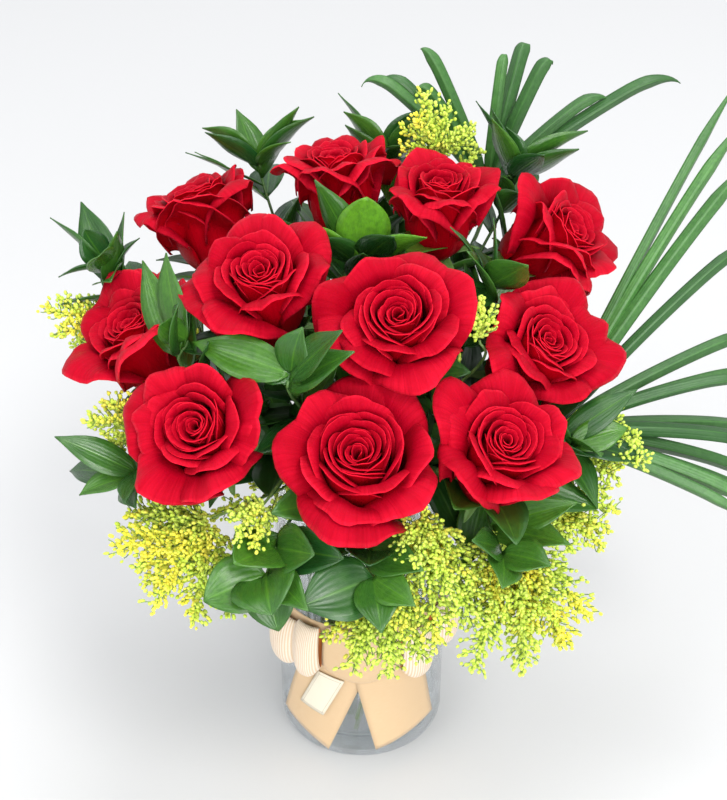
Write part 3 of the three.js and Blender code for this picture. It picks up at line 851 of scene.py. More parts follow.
class Petal:
    """One petal: its cup, its flared rim and its outline, in millimetres about the bloom's axis."""

    def __init__(self, order, count, rose, height, radius, dice):
        self.out = order / (count - 1)
        out = self.out
        self.outer = ease(0.62, 1.0, out)
        self.turn = order * GOLDEN_TURN + dice.uniform(-0.42, 0.42)
        heart = radius * (0.44 + 0.14 * rose["open"])
        self.ring = 1.6 + (heart - 1.6) * out**0.92 * dice.uniform(0.91, 1.06)
        hollow = 0.10 * rose["open"] * (1 - out) ** 3
        crest = 0.91 - hollow - (0.06 + 0.24 * rose["fold"]) * self.outer
        self.crest = height * crest + dice.uniform(-1.3, 1.3)
        self.half = 2.5 - 1.5 * min(1.0, out * 1.7) ** 0.6 + dice.uniform(-0.08, 0.08)
        self.flare = 2.2 + 4.2 * out * (1 - self.outer) + 3.0 * self.outer
        self.flare += (radius * 1.06 - heart) * self.outer**1.1
        self.bend = math.radians(38 + 36 * out + 30 * rose["fold"] * self.outer + dice.uniform(-12, 12))
        self.roll = math.radians(28 + 70 * self.outer * dice.uniform(0.5, 1.3))
        self.peak = dice.uniform(0.5, 1.1) * 4.6 * self.outer
        self.wave = dice.uniform(0, 2 * math.pi)
        self.tuck = 0.5 + 0.085 * self.ring
        self.shade = dice.uniform(0.1, 1.0)
        self.shift = Vector((dice.uniform(-1, 1), dice.uniform(-1, 1))) * (0.3 + 0.05 * self.ring)
        self.foot = Vector((2.2 + 3.2 * out, 5.0 - 2.5 * out))
        self.height = height
        self.seed = dice.uniform(0, 100)

    def cup(self, share):
        """A point (radius, height) up the cup, as a cubic curve from the foot to the crest."""
        top = Vector((self.ring, self.crest))
        belly = self.foot.x + self.ring * 0.75 * (0.4 + 0.6 * self.out)
        low = Vector((belly, self.foot.y + self.height * 0.08))
        high = Vector((self.ring * (1.16 - 0.10 * self.outer) + 0.5, self.crest - self.height * 0.34))
        a, b = 1 - share, share
        return a**3 * self.foot + 3 * a * a * b * low + 3 * a * b * b * high + b**3 * top

    def rows(self, columns, body_rows, rim_rows):
        rows = [[] for _ in range(body_rows + rim_rows)]
        for column in range(columns):
            side = 2 * column / (columns - 1) - 1
            profile = self.column(side, body_rows, rim_rows)
            for index, (spot, share) in enumerate(profile):
                rows[index].append((self.turned(spot, side, share), (0.5 + side / 2, share)))
        return rows

    def column(self, side, body_rows, rim_rows):
        """The cup and the flared rim at one side position, as (radius, height) with a share up the petal."""
        reach = 1 - (0.16 + 0.16 * self.outer) * abs(side) ** 3
        profile = []
        for index in range(body_rows):
            share = index / (body_rows - 1)
            profile.append((self.cup(share * reach), share * 0.5))
        last, before = profile[-1][0], self.cup(reach * 0.97)
        angle = math.atan2(last.y - before.y, last.x - before.x)
        bend = self.bend * (1 + 0.16 * math.sin(2.6 * side + self.wave) * self.outer)
        roll = self.roll * (0.35 + 1.3 * side * side)
        length = self.flare * (1 - 0.5 * abs(side) ** 2.1) + self.peak * math.exp(-((side / 0.2) ** 2))
        spot = last.copy()
        for index in range(1, rim_rows + 1):
            share = index / rim_rows
            angle -= bend * 1.5 / rim_rows * (1 - share) ** 0.5 + roll / 3 * max(0, index - rim_rows + 3) / 2
            spot = spot + Vector((math.cos(angle), math.sin(angle))) * (length / rim_rows)
            profile.append((spot, 0.5 + 0.5 * share))
        return profile

    def turned(self, spot, side, share):
        """Wraps a profile point round the bloom's axis, with the tuck and the waves of the petal."""
        broad = 0.5 + 0.5 * ease(0, 0.45, share)
        angle = self.turn + side * self.half * broad
        crease = noise.noise(Vector((side * 5.0, share * 1.3, self.seed + 40))) * (0.25 + 0.9 * self.outer)
        billow = noise.noise(Vector((side * 1.5, share * 1.6, self.seed))) * (0.6 + 4.6 * self.outer)
        swell = (billow + crease) * share
        radius = max(0.5, spot.x + (self.tuck * side + swell) * ease(0, 0.35, share))
        ripple = noise.noise(Vector((side * 2.6, self.seed, share * 2))) * (1.3 + 5.0 * self.outer) * share**2
        frill = noise.noise(Vector((side * 7.5, self.seed + 9, share * 3))) * (0.3 + 1.1 * self.outer)
        ripple += frill * share**3
        moved = self.shift * ease(0.2, 0.6, share)
        across = radius * math.cos(angle) + moved.x
        deep = radius * math.sin(angle) + moved.y
        return Vector((across, deep, spot.y + ripple))


def sepal_rows(turn, dice):
    """One sepal that hangs open from under the bloom."""
    rows = []
    reach = dice.uniform(20, 26)
    fall = dice.uniform(0.2, 1.0)
    for index in range(9):
        share = index / 8
        out = 4.5 + reach * math.sin(share * 1.35)
        down = 3.0 + 7 * share - 16 * fall * share**2
        wide = 4.2 * (1 - share) ** 0.8 + 0.15
        row = []
        for side in (-1, -0.5, 0, 0.5, 1):
            across = Vector((-math.sin(turn), math.cos(turn), 0)) * side * wide
            spot = Vector((math.cos(turn) * out, math.sin(turn) * out, down + abs(side) * 0.9)) + across
            row.append((spot, (0.5 + side / 2, share)))
        rows.append(row)
    return rows


def calyx_rows():
    """The green cup under the petals."""
    outline = [(0.1, -2.0), (3.0, -1.8), (4.2, 0.5), (5.6, 3.0), (6.0, 5.5), (5.0, 7.5), (0.1, 8.0)]
    rows = []
    for radius, height in outline:
        row = []
        for index in range(15):
            turn = 2 * math.pi * index / 14
            row.append((ring_point(radius, turn, height), (index / 14, height / 8)))
        rows.append(row)
    return rows


def placed_rows(rows, place):
    return [[(place @ (spot * MM), uv) for spot, uv in row] for row in rows]


def make_bloom(number, rose, settings, looks):
    base, facing, height, radius = BLOOMS[number - 1]
    dice = random.Random(rose["seed"])
    turn = Matrix.Rotation(math.radians(rose["spin"]), 4, "Z")
    tilt = UP.rotation_difference(facing).to_matrix().to_4x4()
    place = Matrix.Translation(base - facing * SUNK * MM) @ tilt @ turn
    tall = height / MM
    wide = radius / MM * rose["width"]
    petals = Shape()
    for order in range(settings.petals):
        petal = Petal(order, settings.petals, rose, tall, wide, dice)
        petals.grid(placed_rows(petal.rows(21, 7, 11), place), petal.shade)
    bloom = thicken(petals.build(f"bloom_{number}", looks[:2]), settings.thickness, back=1)
    green = Shape()
    for order in range(5):
        green.grid(placed_rows(sepal_rows(order * 2 * math.pi / 5, dice), place), dice.uniform(0.2, 0.8))
    sepals = thicken(green.build(f"sepals_{number}", [looks[2]]), SEPAL_THICKNESS)
    cup = Shape()
    cup.grid(placed_rows(calyx_rows(), place), 0.5)
    calyx = cup.build(f"calyx_{number}", [looks[2]])
    whole = joined(f"bloom_{number}", [bloom, sepals, calyx])
    hand_over(whole, "petals", f"rose_bloom_{number}")


class BOUQUET_OT_roses(Operator):
    """Opens each rose: spiral petals with rolled rims, over a green calyx"""

    bl_idname = "bouquet.roses"
    bl_label = "Roses"

    def execute(self, context):
        settings = context.scene.rose_settings
        looks = [
            petal_look("petal_face", settings.face, settings, False),
            petal_look("petal_back", settings.back, settings, True),
            leaf_look("calyx_green", settings.green, (0.16, 0.3, 0.07), 0.45, 6),
        ]
        for number, rose in enumerate(ROSES, 1):
            make_bloom(number, rose, settings, looks)
        return {"FINISHED"}


class BOUQUET_OT_rose_stems(Operator):
    """Runs each rose's stem from the foot of the vase to its bloom"""

    bl_idname = "bouquet.rose_stems"
    bl_label = "Rose Stems"

    def execute(self, context):
        settings = context.scene.rose_settings
        skin = skin_look("rose_stem_skin", settings.green, (0.045, 0.1, 0.02))
        foliage = context.scene.foliage_settings
        leaf = leaf_look("rose_leaf", foliage.leaf, foliage.young, 0.26, 8)
        dice = random.Random(8)
        recipe = stalk_recipe()
        half = settings.stem / 2
        for number in range(1, len(ROSES) + 1):
            base, facing, _, _ = BLOOMS[number - 1]
            place = Vector((base.x, base.y)) / spread_at((base.z - RIM_HEIGHT) / MM)
            neck = base - facing * 0.014
            middle = bundle_point(place, (RIM_HEIGHT + neck.z) / 2)
            path = smooth_path([*stem_in_vase(place, number), middle, neck, base])
            piece = line_piece(f"stem_{number}", [path], lambda share: half * (1.08 - 0.16 * share))
            recipe.run(piece, Sides=12, Skin=skin)
            piece.data.polygons.foreach_set("use_smooth", [True] * len(piece.data.polygons))
            leaves = Shape()
            leafy_shoot(leaves, path, 0.5, ROSE_LEAVES.get(number, foliage.below), dice, ROSE_LEAF_SIZE)
            blades = thicken(leaves.build(f"rose_leaves_{number}", [leaf]), foliage.thickness)
            whole = joined(f"rose_stem_and_leaves_{number}", [blades, piece])
            hand_over(whole, "stems", f"rose_stem_{number}")
        return {"FINISHED"}


# ---- Foliage ----
def leaf_rows(base, tip, width, bow, fold, lean, columns=7, steps=12):
    """A pointed leaf that arches from base to tip and folds a little along its midline."""
    outward = (base + tip) / 2
    outward = Vector((outward.x, outward.y, 0)).normalized() * lean + UP
    middle = (base + tip) / 2 + outward.normalized() * bow
    rows = []
    for index in range(steps + 1):
        share = index / steps
        spot, forward = on_arch(base, middle, tip, share)
        side = outward.cross(forward).normalized()
        face = forward.cross(side)
        round_ = (0.75 if share < 0.42 else 1.2) * (0.72 if width > 0.023 else 1.0)
        half = width / 2 * (0.03 + 0.97 * max(0.0, math.sin(math.pi * share**0.8)) ** round_)
        row = []
        for column in range(columns):
            across = 2 * column / (columns - 1) - 1
            lift = fold * half * (abs(across) ** 1.5) + 0.0004 * math.sin(9 * share + 2 * across) * across
            row.append((spot + side * across * half + face * lift, (0.5 + across / 2, share)))
        rows.append(row)
    return rows


def inside_box(place):
    """The nearest place that stays inside the arrangement's own size."""
    low, high = cad_box
    return Vector([min(max(place[i], low[i]), high[i]) for i in range(3)])


def clear_of_blooms(base, tip):
    """Draws a leaf's tip back until it no longer runs into a bloom; None if hardly any leaf would be left."""
    for share in (1.0, 0.85, 0.7, 0.55):
        shorter = base.lerp(tip, share)
        spots = [base.lerp(shorter, part) for part in (0.5, 0.75, 1.0)]
        if all(bloom_distance(spot) > 0 for spot in spots):
            return shorter
    return None


def bloom_distance(spot):
    """How far a place is from the nearest bloom's petals, in metres; negative inside one."""
    nearest = 1.0
    for base, facing, height, radius in BLOOMS:
        along = (spot - base).dot(facing) + SUNK * MM
        out = ((spot - base) - (spot - base).dot(facing) * facing).length
        reach = radius * (0.32 + 0.9 * ease(0, height * 0.8, along))
        away = max(out - reach, -along, along - height)
        nearest = min(nearest, away)
    return nearest


ROSE_LEAF_SIZE = (54, 24)  # length and width in millimetres
RUSCUS_LEAF_SIZE = (48, 20)
SPRIGS = 4  # goldenrod sprigs from each stem

# Each goldenrod plume is three: how far it leans in radians, and its share of the length.
PLUME_FAN = ((0, 1.0), (0.42, 0.9), (-0.42, 0.84))
PLUME_AXIS = (0.35, -0.6, 0.72)


def leafy_shoot(leaves, path, first, count, dice, size):
    """Leaves along the last part of a stem, each a turn on from the one before."""
    for index in range(count):
        share = first + (0.97 - first) * (index + 1) / count
        base, forward = along_path(path, share)
        side = forward.orthogonal().normalized()
        turned = Matrix.Rotation(index * GOLDEN_TURN + dice.uniform(-0.4, 0.4), 3, forward) @ side
        reach = size[0] * dice.uniform(0.75, 1.15) * MM
        tip = inside_box(base + (forward * 0.62 + turned * 0.72).normalized() * reach)
        tip = clear_of_blooms(base, tip)
        width = size[1] * dice.uniform(0.8, 1.15) * MM
        shade = dice.uniform(0.0, 0.35)
        bow = dice.uniform(1, 5) * MM
        if tip is not None:
            leaves.grid(leaf_rows(base, tip, width, bow, dice.uniform(0.15, 0.4), 0.7, 5, 9), shade)


class BOUQUET_OT_ruscus(Operator):
    """Adds the sprays of glossy pointed leaves"""

    bl_idname = "bouquet.ruscus"
    bl_label = "Ruscus"

    def execute(self, context):
        settings = context.scene.foliage_settings
        leaf = leaf_look("ruscus_leaf", settings.leaf, settings.young, 0.2, 9)
        skin = skin_look("ruscus_stem_skin", *STEM_GREENS)
        recipe = stalk_recipe()
        half = settings.stem / 2
        dice = random.Random(5)
        for number, spray in enumerate(RUSCUS, 1):
            path = smooth_path(spray_path(spray["stem"], number))
            stalk = line_piece(f"ruscus_stalk_{number}", [path], lambda share: half * (1 - 0.35 * share))
            recipe.run(stalk, Sides=8, Skin=skin)
            leaves = Shape()
            points = [above_rim(place) for place in spray["stem"]]
            for start, tip, width in spray["leaves"]:
                bow = dice.uniform(3, 6) * MM
                fold = dice.uniform(0.15, 0.4)
                rows = leaf_rows(points[start], above_rim(tip), width * MM, bow, fold, 1.0)
                leaves.grid(rows, 1.0 if number == LIGHT_SPRAY else dice.uniform(0.0, 0.4))
            leafy_shoot(leaves, path, 0.6, FEWER_LEAVES.get(number, settings.extra), dice, RUSCUS_LEAF_SIZE)
            blades = thicken(leaves.build(f"ruscus_leaves_{number}", [leaf]), settings.thickness)
            hand_over(joined(f"ruscus_spray_{number}", [blades, stalk]), "leaves", f"ruscus_{number}")
        return {"FINISHED"}


def plume_twigs(base, tip, dice, crowd=1.0):
    """The side twigs of one goldenrod plume: long ones low down, short ones near the tip, all round."""
    axis = tip - base
    reach = axis.length
    forward = axis.normalized()
    side = forward.cross(UP).normalized()
    over = side.cross(forward).normalized()
    main = [base + axis * (i / 8) - over * (0.10 * reach * (i / 8) ** 2) for i in range(3, 9)]
    twigs = [main]
    count = max(12, int(crowd * reach / MM / 1.7))
    for index in range(count):
        share = 0.10 + 0.86 * index / count
        root = base + axis * share - over * (0.10 * reach * share**2)
        long_ = min(reach, 0.06) * (0.26 * (1 - share) + 0.1) * dice.uniform(0.6, 1.25)
        turn = index * GOLDEN_TURN + dice.uniform(-0.5, 0.5)
        out = side * math.sin(turn) + over * math.cos(turn)
        twig = []
        for step in range(5):
            t = step / 4
            bent = forward * 0.7 * t + out * 0.85 * math.sin(1.4 * t) + UP * 0.12 * t * t
            twig.append(root + bent * long_)
        twigs.append(twig)
    return twigs


def side_sprigs(path, dice, count):
    """Small sprigs from the stem itself, which fill the heart of the bouquet."""
    twigs = []
    for index in range(count):
        share = 0.68 + 0.27 * index / count
        base, forward = along_path(path, share)
        turned = Matrix.Rotation(index * GOLDEN_TURN, 3, forward) @ forward.orthogonal().normalized()
        heading = (forward * 0.7 + turned * 0.7 + UP * 0.3).normalized()
        tip = inside_box(base + heading * dice.uniform(0.024, 0.036))
        if bloom_distance(tip) < SPRIG_ROOM or bloom_distance(base.lerp(tip, 0.6)) < SPRIG_ROOM:
            continue
        stalk = [base.lerp(tip, i / 3) for i in range(4)]
        twigs.extend([stalk, *plume_twigs(base.lerp(tip, 0.3), tip, dice, 0.7)])
    return twigs


class BOUQUET_OT_goldenrod(Operator):
    """Strings the goldenrod's buds along its twigs"""

    bl_idname = "bouquet.goldenrod"
    bl_label = "Goldenrod"

    def execute(self, context):
        settings = context.scene.goldenrod_settings
        buds = bud_look(settings)
        skin = skin_look("goldenrod_stem_skin", settings.twig, (0.07, 0.14, 0.03))
        stalks = stalk_recipe()
        sprays = bud_recipe()
        for number, spray in enumerate(GOLDENROD, 1):
            dice = random.Random(40 + number)
            path = smooth_path(spray_path(spray["stem"], number))
            stalk = line_piece(
                f"goldenrod_stalk_{number}", [path], lambda share: GOLDENROD_STEM * (1 - 0.4 * share)
            )
            stalks.run(stalk, Sides=8, Skin=skin)
            points = [above_rim(place) for place in spray["stem"]]
            twigs = []
            for start, tip in spray["plumes"]:
                for lean, share in PLUME_FAN:
                    reach = Matrix.Rotation(lean, 3, PLUME_AXIS) @ (above_rim(tip) - points[start])
                    end = inside_box(points[start] + reach * share - UP * 0.006 * abs(lean))
                    twigs.extend(plume_twigs(points[start], end, dice))
            twigs.extend(side_sprigs(path, dice, SPRIGS))
            plume = line_piece(f"goldenrod_plume_{number}", twigs, lambda share: 0.0)
            sprays.run(
                plume,
                Bud_radius=settings.bud,
                Spacing=settings.spacing,
                Twig_radius=GOLDENROD_TWIG,
                Seed=number,
                Bud=buds,
                Twig=skin,
            )
            hand_over(joined(f"goldenrod_spray_{number}", [plume, stalk]), "buds", f"goldenrod_{number}")
        return {"FINISHED"}


def leaflet_rows(base, tip, width, bow, twist, droop):
    """A long palm leaflet, folded into a V along its midline, whose end droops."""
    middle = (base + tip) / 2 + UP * bow
    outward = Vector((0, -1, 0.6)).normalized()
    rows = []
    for index in range(33):
        share = index / 32
        spot, forward = on_arch(base, middle, tip, share)
        hang = max(0.0, share - 0.68) / 0.32
        spot = spot - UP * droop * hang**2 - forward * droop * 0.5 * hang**3
        side = outward.cross(forward).normalized()
        face = forward.cross(side)
        half = width / 2 * min(1.0, 0.35 + 4 * share, 0.04 + 4.5 * (1 - share))
        turned = twist * (0.3 + 0.7 * share)
        row = []
        for column in range(9):
            across = column / 4 - 1
            fold = half * 0.7 * (1 - abs(across))
            lay = side * (across * math.cos(turned)) + face * (across * math.sin(turned))
            rise = face * math.cos(turned) - side * math.sin(turned)
            row.append((spot + lay * half * 0.8 + rise * fold, (0.5 + across / 2, share * 4)))
        rows.append(row)
    return rows


class BOUQUET_OT_palm(Operator):
    """Fans out the palm leaflets"""

    bl_idname = "bouquet.palm"
    bl_label = "Palm Leaves"

    def execute(self, context):
        settings = context.scene.foliage_settings
        blade = leaf_look("palm_leaflet", settings.palm, settings.palm_rib, 0.34, 7)
        skin = skin_look("palm_stalk_skin", (0.1, 0.2, 0.05), (0.04, 0.1, 0.02))
        recipe = stalk_recipe()
        for number, palm in enumerate(PALMS, 1):
            dice = random.Random(70 + number)
            path = smooth_path(spray_path(palm["stem"], number))
            stalk = line_piece(f"palm_stalk_{number}", [path], lambda share: PALM_STEM * (1 - 0.3 * share))
            recipe.run(stalk, Sides=8, Skin=skin)
            leaflets = Shape()
            base = above_rim(palm["stem"][-1])
            for tip in palm["tips"]:
                width = dice.uniform(8.5, 11.5) * MM
                droop = palm["droop"] * dice.uniform(0.6, 1.3) * MM
                twist = dice.uniform(-0.6, 0.6)
                end = above_rim(tip) + UP * palm["lift"] * MM
                rows = leaflet_rows(base, end, width, dice.uniform(9, 16) * MM, twist, droop)
                leaflets.grid(rows, dice.uniform(0.1, 0.6))
            blades = thicken(leaflets.build(f"palm_leaflets_{number}", [blade]), PALM_THICKNESS)
            hand_over(joined(f"palm_fan_{number}", [blades, stalk]), "palm", f"palm_leaf_{number}")
        return {"FINISHED"}


# ---- Vase ----
def arc(centre, radius, start, finish, steps):
    return [
        (
            centre[0] + radius * math.cos(math.radians(start + (finish - start) * i / steps)),
            centre[1] + radius * math.sin(math.radians(start + (finish - start) * i / steps)),
        )
        for i in range(steps + 1)
    ]


class BOUQUET_OT_vase(Operator):
    """Turns the glass vase: thick foot, straight wall and rounded rim"""

    bl_idname = "bouquet.vase"
    bl_label = "Vase"

    def execute(self, context):
        settings = context.scene.vase_settings
        edge, wall, foot = settings.edge, settings.wall, settings.foot
        inner = VASE_RADIUS - wall
        profile = [(0.0, 0.0006), (VASE_RADIUS - 4 * edge, 0.0)]
        profile += arc((VASE_RADIUS - 2 * edge, 2 * edge), 2 * edge, -90, 0, 6)
        profile += arc((VASE_RADIUS - wall / 2, RIM_HEIGHT - wall / 2), wall / 2, 0, 180, 8)
        profile += arc((inner - 3 * edge, foot + 3 * edge), 3 * edge, 0, -90, 8)
        profile += [(inner * 0.5, foot - 0.0006), (0.0, foot - 0.0008)]
        sides = 128
        points = [Vector((0, 0, profile[0][1]))]
        rings = profile[1:-1]
        for radius, height in rings:
            for index in range(sides):
                turn = 2 * math.pi * index / sides
                points.append(ring_point(radius, turn, height))
        points.append(Vector((0, 0, profile[-1][1])))
        faces = [(0, 1 + (i + 1) % sides, 1 + i) for i in range(sides)]
        for ring in range(len(rings) - 1):
            low = 1 + ring * sides
            for i in range(sides):
                after = (i + 1) % sides
                faces.append((low + i, low + after, low + sides + after, low + sides + i))
        top = 1 + (len(rings) - 1) * sides
        faces += [(top + i, top + (i + 1) % sides, len(points) - 1) for i in range(sides)]
        mesh = bpy.data.meshes.new("glass_vase")
        mesh.from_pydata(points, [], faces)
        mesh.materials.append(glass_look(settings))
        mesh.polygons.foreach_set("use_smooth", [True] * len(faces))
        piece = bpy.data.objects.new("glass_vase", mesh)
        context.scene.collection.objects.link(piece)
        hand_over(piece, "glass", "vase")
        return {"FINISHED"}


# ---- Ribbon ----
def flat_size(rows):
    """The width and length that a sheet was cut to, from its rows of points."""
    middle = len(rows[0]) // 2
    long_ = sum((rows[i + 1][middle][0] - rows[i][middle][0]).length for i in range(len(rows) - 1))
    half = rows[len(rows) // 2]
    wide = sum((half[i + 1][0] - half[i][0]).length for i in range(len(half) - 1))
    return wide, long_


def sheet_area(rows):
    total = 0.0
    for near, far in zip(rows, rows[1:]):
        for i in range(len(near) - 1):
            across = far[i + 1][0] - near[i][0]
            down = far[i][0] - near[i + 1][0]
            total += across.cross(down).length / 2
    return total


def make_sheet(name, rows, looks, settings, node, back=0):
    shape = Shape()
    shape.grid(rows)
    piece = thicken(shape.build(name, looks), settings.thickness, back=back)
    hand_over(piece, "ribbon", node)
    width, long_ = flat_size(rows)
    area = sheet_area(rows)


def band_rows():
    low, high = (Vector(corner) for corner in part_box("ribbon_band"))
    middle = (low + high) / 2
    size = high - low
    radius = size.x / 2 - 0.0005
    rows = []
    for step in range(97):
        turn = 2 * math.pi * step / 96
        row = []
        for side in range(13):
            share = side / 12
            pucker = 0.00022 * math.sin(share * 18 + 2 * math.sin(3 * turn))
            out = radius + pucker
            height = middle.z + (share - 0.5) * size.z + 0.0005 * math.sin(2 * turn + share)
            row.append((Vector((out * math.sin(turn), -out * math.cos(turn), height)), (share, step / 24)))
        rows.append(row)
    return rows


def on_vase(around, height, proud):
    """A place on the vase's wall, from the distance round it and the height, in millimetres."""
    turn = around * MM / VASE_RADIUS
    out = VASE_RADIUS + proud * MM
    return Vector((out * math.sin(turn), -out * math.cos(turn), height * MM))


def tail_rows(corners, proud, bow):
    """A stiff tail between four corners (round the vase, height), which ends in a slanted cut."""
    rows = []
    for step in range(25):
        share = step / 24
        row = []
        for side in range(13):
            across = side / 12
            spot = between_corners(corners, across, share)
            lift = proud + bow * share**2
            lift += 0.7 * math.sin(3.1 * share + 1.4 * across)
            lift += 0.3 * math.cos(5 * across)
            row.append((on_vase(spot.x, spot.y, lift), (across, share * 2)))
        rows.append(row)
    return rows


def loop_rows(middle, width, top, low, bulge, proud, folds=0.0):
    """A puffed loop that hangs from its pinched top, rounds over at the bottom and goes back up behind."""
    rows = []
    for step in range(49):
        share = step / 48
        turn = math.pi / 2 - 2 * math.pi * share
        pinch = math.sin(math.pi * share) ** 0.5
        row = []
        for column in range(29):
            across = column / 14 - 1
            edge = 1 - 0.5 * abs(across) ** 2.6
            out = proud + bulge * edge * (0.5 + 0.5 * math.cos(turn)) * (0.35 + 0.65 * pinch)
            out += folds * math.sin(5.2 * across + 1.2) * (0.5 + 0.5 * math.cos(turn))
            drop = (1 - math.sin(turn)) / 2 * (top - low) * (1 - 0.22 * abs(across) ** 2.4)
            around = middle + across * width / 2 * (0.82 + 0.18 * pinch)
            row.append((on_vase(around, top - drop, out), (0.5 + across / 2, share * 1.5)))
        rows.append(row)
    return rows


# Each loop: piece, node, place round the vase, width, top, bottom, bulge and how proud of the vase it starts.
LOOPS = (
    ("bow_loop_left", "ribbon_loop_left", -47, 23, 102, 68, 11, 2.4),
    ("bow_loop_left_front", "ribbon_loop_left_inner", -29, 15, 106, 70, 12, 3.2),
    ("bow_loop_right", "ribbon_loop_right", 53, 22, 108, 78, 12, 2.4),
    ("bow_loop_right_front", "ribbon_loop_right_inner", 31, 19, 102, 68, 11, 3.2),
)


class BOUQUET_OT_ribbon(Operator):
    """Ties the ribbon: the band, the gathered middle, the loops and the tails"""

    bl_idname = "bouquet.ribbon"
    bl_label = "Ribbon Bow"

    def execute(self, context):
        settings = context.scene.ribbon_settings
        plain = ribbon_look("ribbon_plain", settings.cream, settings.cream, settings, 3)
        ribbed = ribbon_look("ribbon_ribbed", settings.cream, settings.rib, settings, 15)
        # The loop insides are painted shade: this material is the darker orange all over.
        inside = ribbon_look("ribbon_inside_shade", settings.inside, settings.inside, settings, 1)
        rows = band_rows()
        make_sheet("ribbon_round_vase", rows, [plain], settings, "ribbon_band")
        rows = loop_rows(0, 42, 108, 70, 6, 2.8, 0.7)
        make_sheet("bow_middle", rows, [plain], settings, "ribbon_knot")
        for name, node, *sizes in LOOPS:
            rows = loop_rows(*sizes)
            make_sheet(name, rows, [inside, ribbed], settings, node, back=1)
        left = tail_rows(((-31, 94), (8, 90), (-51, 24), (-19, 7)), 2.2, 1.5)
        make_sheet("bow_tail_left", left, [plain], settings, "ribbon_tail_left")
        right = tail_rows(((-8, 94), (33, 94), (8, 12), (46, 24)), 3.2, 1.5)
        make_sheet("bow_tail_right", right, [plain], settings, "ribbon_tail_right")
        return {"FINISHED"}


LABEL_CORNERS = ((-24, 72), (-9, 68), (-36, 41), (-21, 37))  # round the vase and up, in millimetres


class BOUQUET_OT_label(Operator):
    """Lays the plain bordered label on the left tail"""

    bl_idname = "bouquet.label"
    bl_label = "Label"

    def execute(self, context):
        settings = context.scene.ribbon_settings
        shape = Shape()
        rows = []
        for step in range(13):
            row = []
            for side in range(9):
                across = side / 8
                spot = between_corners(LABEL_CORNERS, across, step / 12)
                row.append((on_vase(spot.x, spot.y, 4.4 + 0.6 * step / 12), (across, step / 12)))
            rows.append(row)
        shape.grid(rows)
        piece = thicken(shape.build("plain_label", [paper_look(settings)]), LABEL_THICKNESS)
        hand_over(piece, "label", "label")
        return {"FINISHED"}


# ---- Stage ----
def area_light(name, place, target, size, power, tone):
    light = bpy.data.lights.new(name, "AREA")
    light.shape = "DISK"
    light.size = size
    light.energy = power
    light.color = tone
    lamp = bpy.data.objects.new(name, light)
    lamp.location = place
    lamp.rotation_euler = (Vector(target) - Vector(place)).to_track_quat("-Z", "Y").to_euler()
    bpy.context.scene.collection.objects.link(lamp)


CAMERA_LENS = 67.5
CAMERA_PLACE = (0.0014, -0.677, 0.699)
CAMERA_TILT = math.radians(55.3)
FLOOR_REACH = 6.0
WORLD_TONE = (0.95, 0.97, 1.0, 1)
WORLD_LIGHT = 0.92

# Each light: name, place, the place it points at, size, share of the key light's strength, colour.
LIGHTS = (
    ("key", (1.3, -2.2, 3.6), (0, 0, 0.2), 1.5, 1.75, (1.0, 0.99, 0.97)),
    ("fill", (-2.0, -1.8, 3.0), (0, 0, 0.2), 2.0, 0.7, (0.97, 0.98, 1.0)),
    ("top", (0.3, 1.0, 3.6), (0, 0, 0.2), 1.8, 0.85, (1, 1, 1)),
    ("low", (0.3, -1.9, 0.75), (0, 0, 0.03), 1.4, 0.5, (1, 1, 1)),
)


def set_camera(scene):
    data = bpy.data.cameras.new("camera")
    data.lens = CAMERA_LENS
    data.sensor_width = 36
    camera = bpy.data.objects.new("camera", data)
    camera.location = CAMERA_PLACE
    camera.rotation_euler = (CAMERA_TILT, 0, 0)
    scene.collection.objects.link(camera)
    scene.camera = camera


def lay_floor(settings):
    floor = Shape()
    reach = FLOOR_REACH
    floor.grid([[(Vector((x * reach, y * reach, 0)), (x, y)) for x in (-1, 1)] for y in (-1, 1)])
    look = Look("floor_card")
    grain = look.noise(300.0, (1, 1, 1), 3)
    tone = look.blend((grain * 0.04).clamped(), settings.floor, (0.495, 0.495, 0.495))
    floor.build("floor", [look.surface(tone, 0.75 + grain * 0.1)])


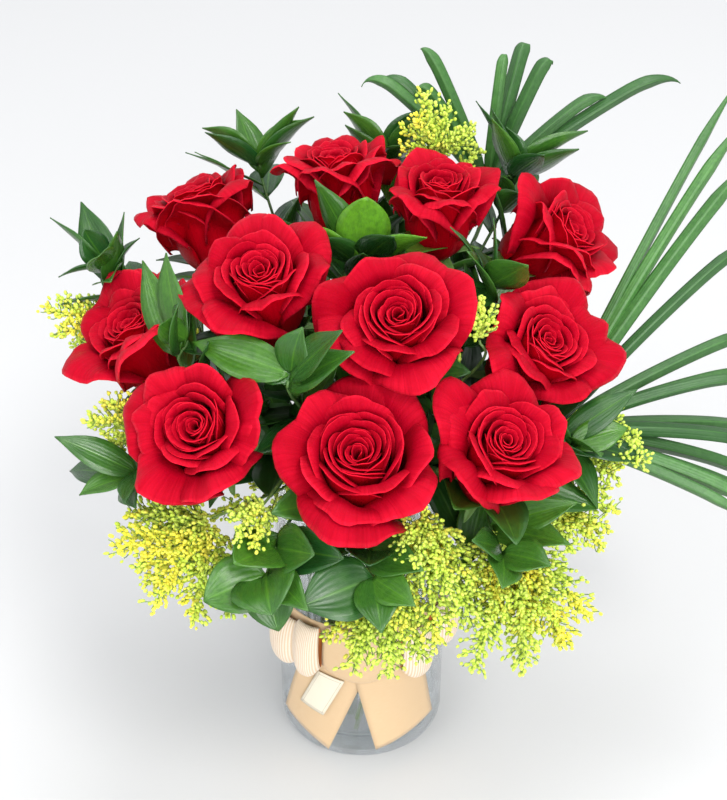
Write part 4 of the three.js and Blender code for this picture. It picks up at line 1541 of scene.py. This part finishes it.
class BOUQUET_OT_stage(Operator):
    """Sets the camera, the soft lights and the pale floor"""

    bl_idname = "bouquet.stage"
    bl_label = "Stage"

    def execute(self, context):
        settings = context.scene.stage_settings
        scene = context.scene
        set_camera(scene)
        lay_floor(settings)
        world = bpy.data.worlds.new("studio")
        world.use_nodes = True
        background = world.node_tree.nodes["Background"]
        background.inputs[0].default_value = WORLD_TONE
        background.inputs[1].default_value = WORLD_LIGHT
        scene.world = world
        for name, place, target, size, share, tone in LIGHTS:
            area_light(name, place, target, size, settings.key * share, tone)
        scene.view_settings.view_transform = "Standard"
        return {"FINISHED"}


STEPS = (
    BOUQUET_OT_stage,
    BOUQUET_OT_vase,
    BOUQUET_OT_roses,
    BOUQUET_OT_rose_stems,
    BOUQUET_OT_ruscus,
    BOUQUET_OT_goldenrod,
    BOUQUET_OT_palm,
    BOUQUET_OT_ribbon,
    BOUQUET_OT_label,
)

SETTINGS = {
    "stage_settings": StageSettings,
    "vase_settings": VaseSettings,
    "rose_settings": RoseSettings,
    "foliage_settings": FoliageSettings,
    "goldenrod_settings": GoldenrodSettings,
    "ribbon_settings": RibbonSettings,
}


class BOUQUET_PT_sidebar(Panel):
    """Lists the bouquet's settings and the steps that build it"""

    bl_label = "Roses in a Vase"
    bl_idname = "BOUQUET_PT_sidebar"
    bl_space_type = "VIEW_3D"
    bl_region_type = "UI"
    bl_category = "Bouquet"

    def draw(self, context):
        for step in STEPS:
            self.layout.operator(step.bl_idname)
        for name, group in SETTINGS.items():
            box = self.layout.box()
            box.label(text=name.replace("_", " ").capitalize())
            for key in group.__annotations__:
                box.prop(getattr(context.scene, name), key)


def register():
    for group in SETTINGS.values():
        bpy.utils.register_class(group)
    for name, group in SETTINGS.items():
        setattr(bpy.types.Scene, name, PointerProperty(type=group))
    for step in STEPS:
        bpy.utils.register_class(step)
    bpy.utils.register_class(BOUQUET_PT_sidebar)


def unregister():
    bpy.utils.unregister_class(BOUQUET_PT_sidebar)
    for step in reversed(STEPS):
        bpy.utils.unregister_class(step)
    for name in SETTINGS:
        delattr(bpy.types.Scene, name)
    for group in SETTINGS.values():
        bpy.utils.unregister_class(group)


def main():
    register()
    bpy.ops.bouquet.stage()
    bpy.ops.bouquet.vase()
    bpy.ops.bouquet.roses()
    bpy.ops.bouquet.rose_stems()
    bpy.ops.bouquet.ruscus()
    bpy.ops.bouquet.goldenrod()
    bpy.ops.bouquet.palm()
    bpy.ops.bouquet.ribbon()
    bpy.ops.bouquet.label()
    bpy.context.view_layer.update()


if __name__ == "__main__":
    main()
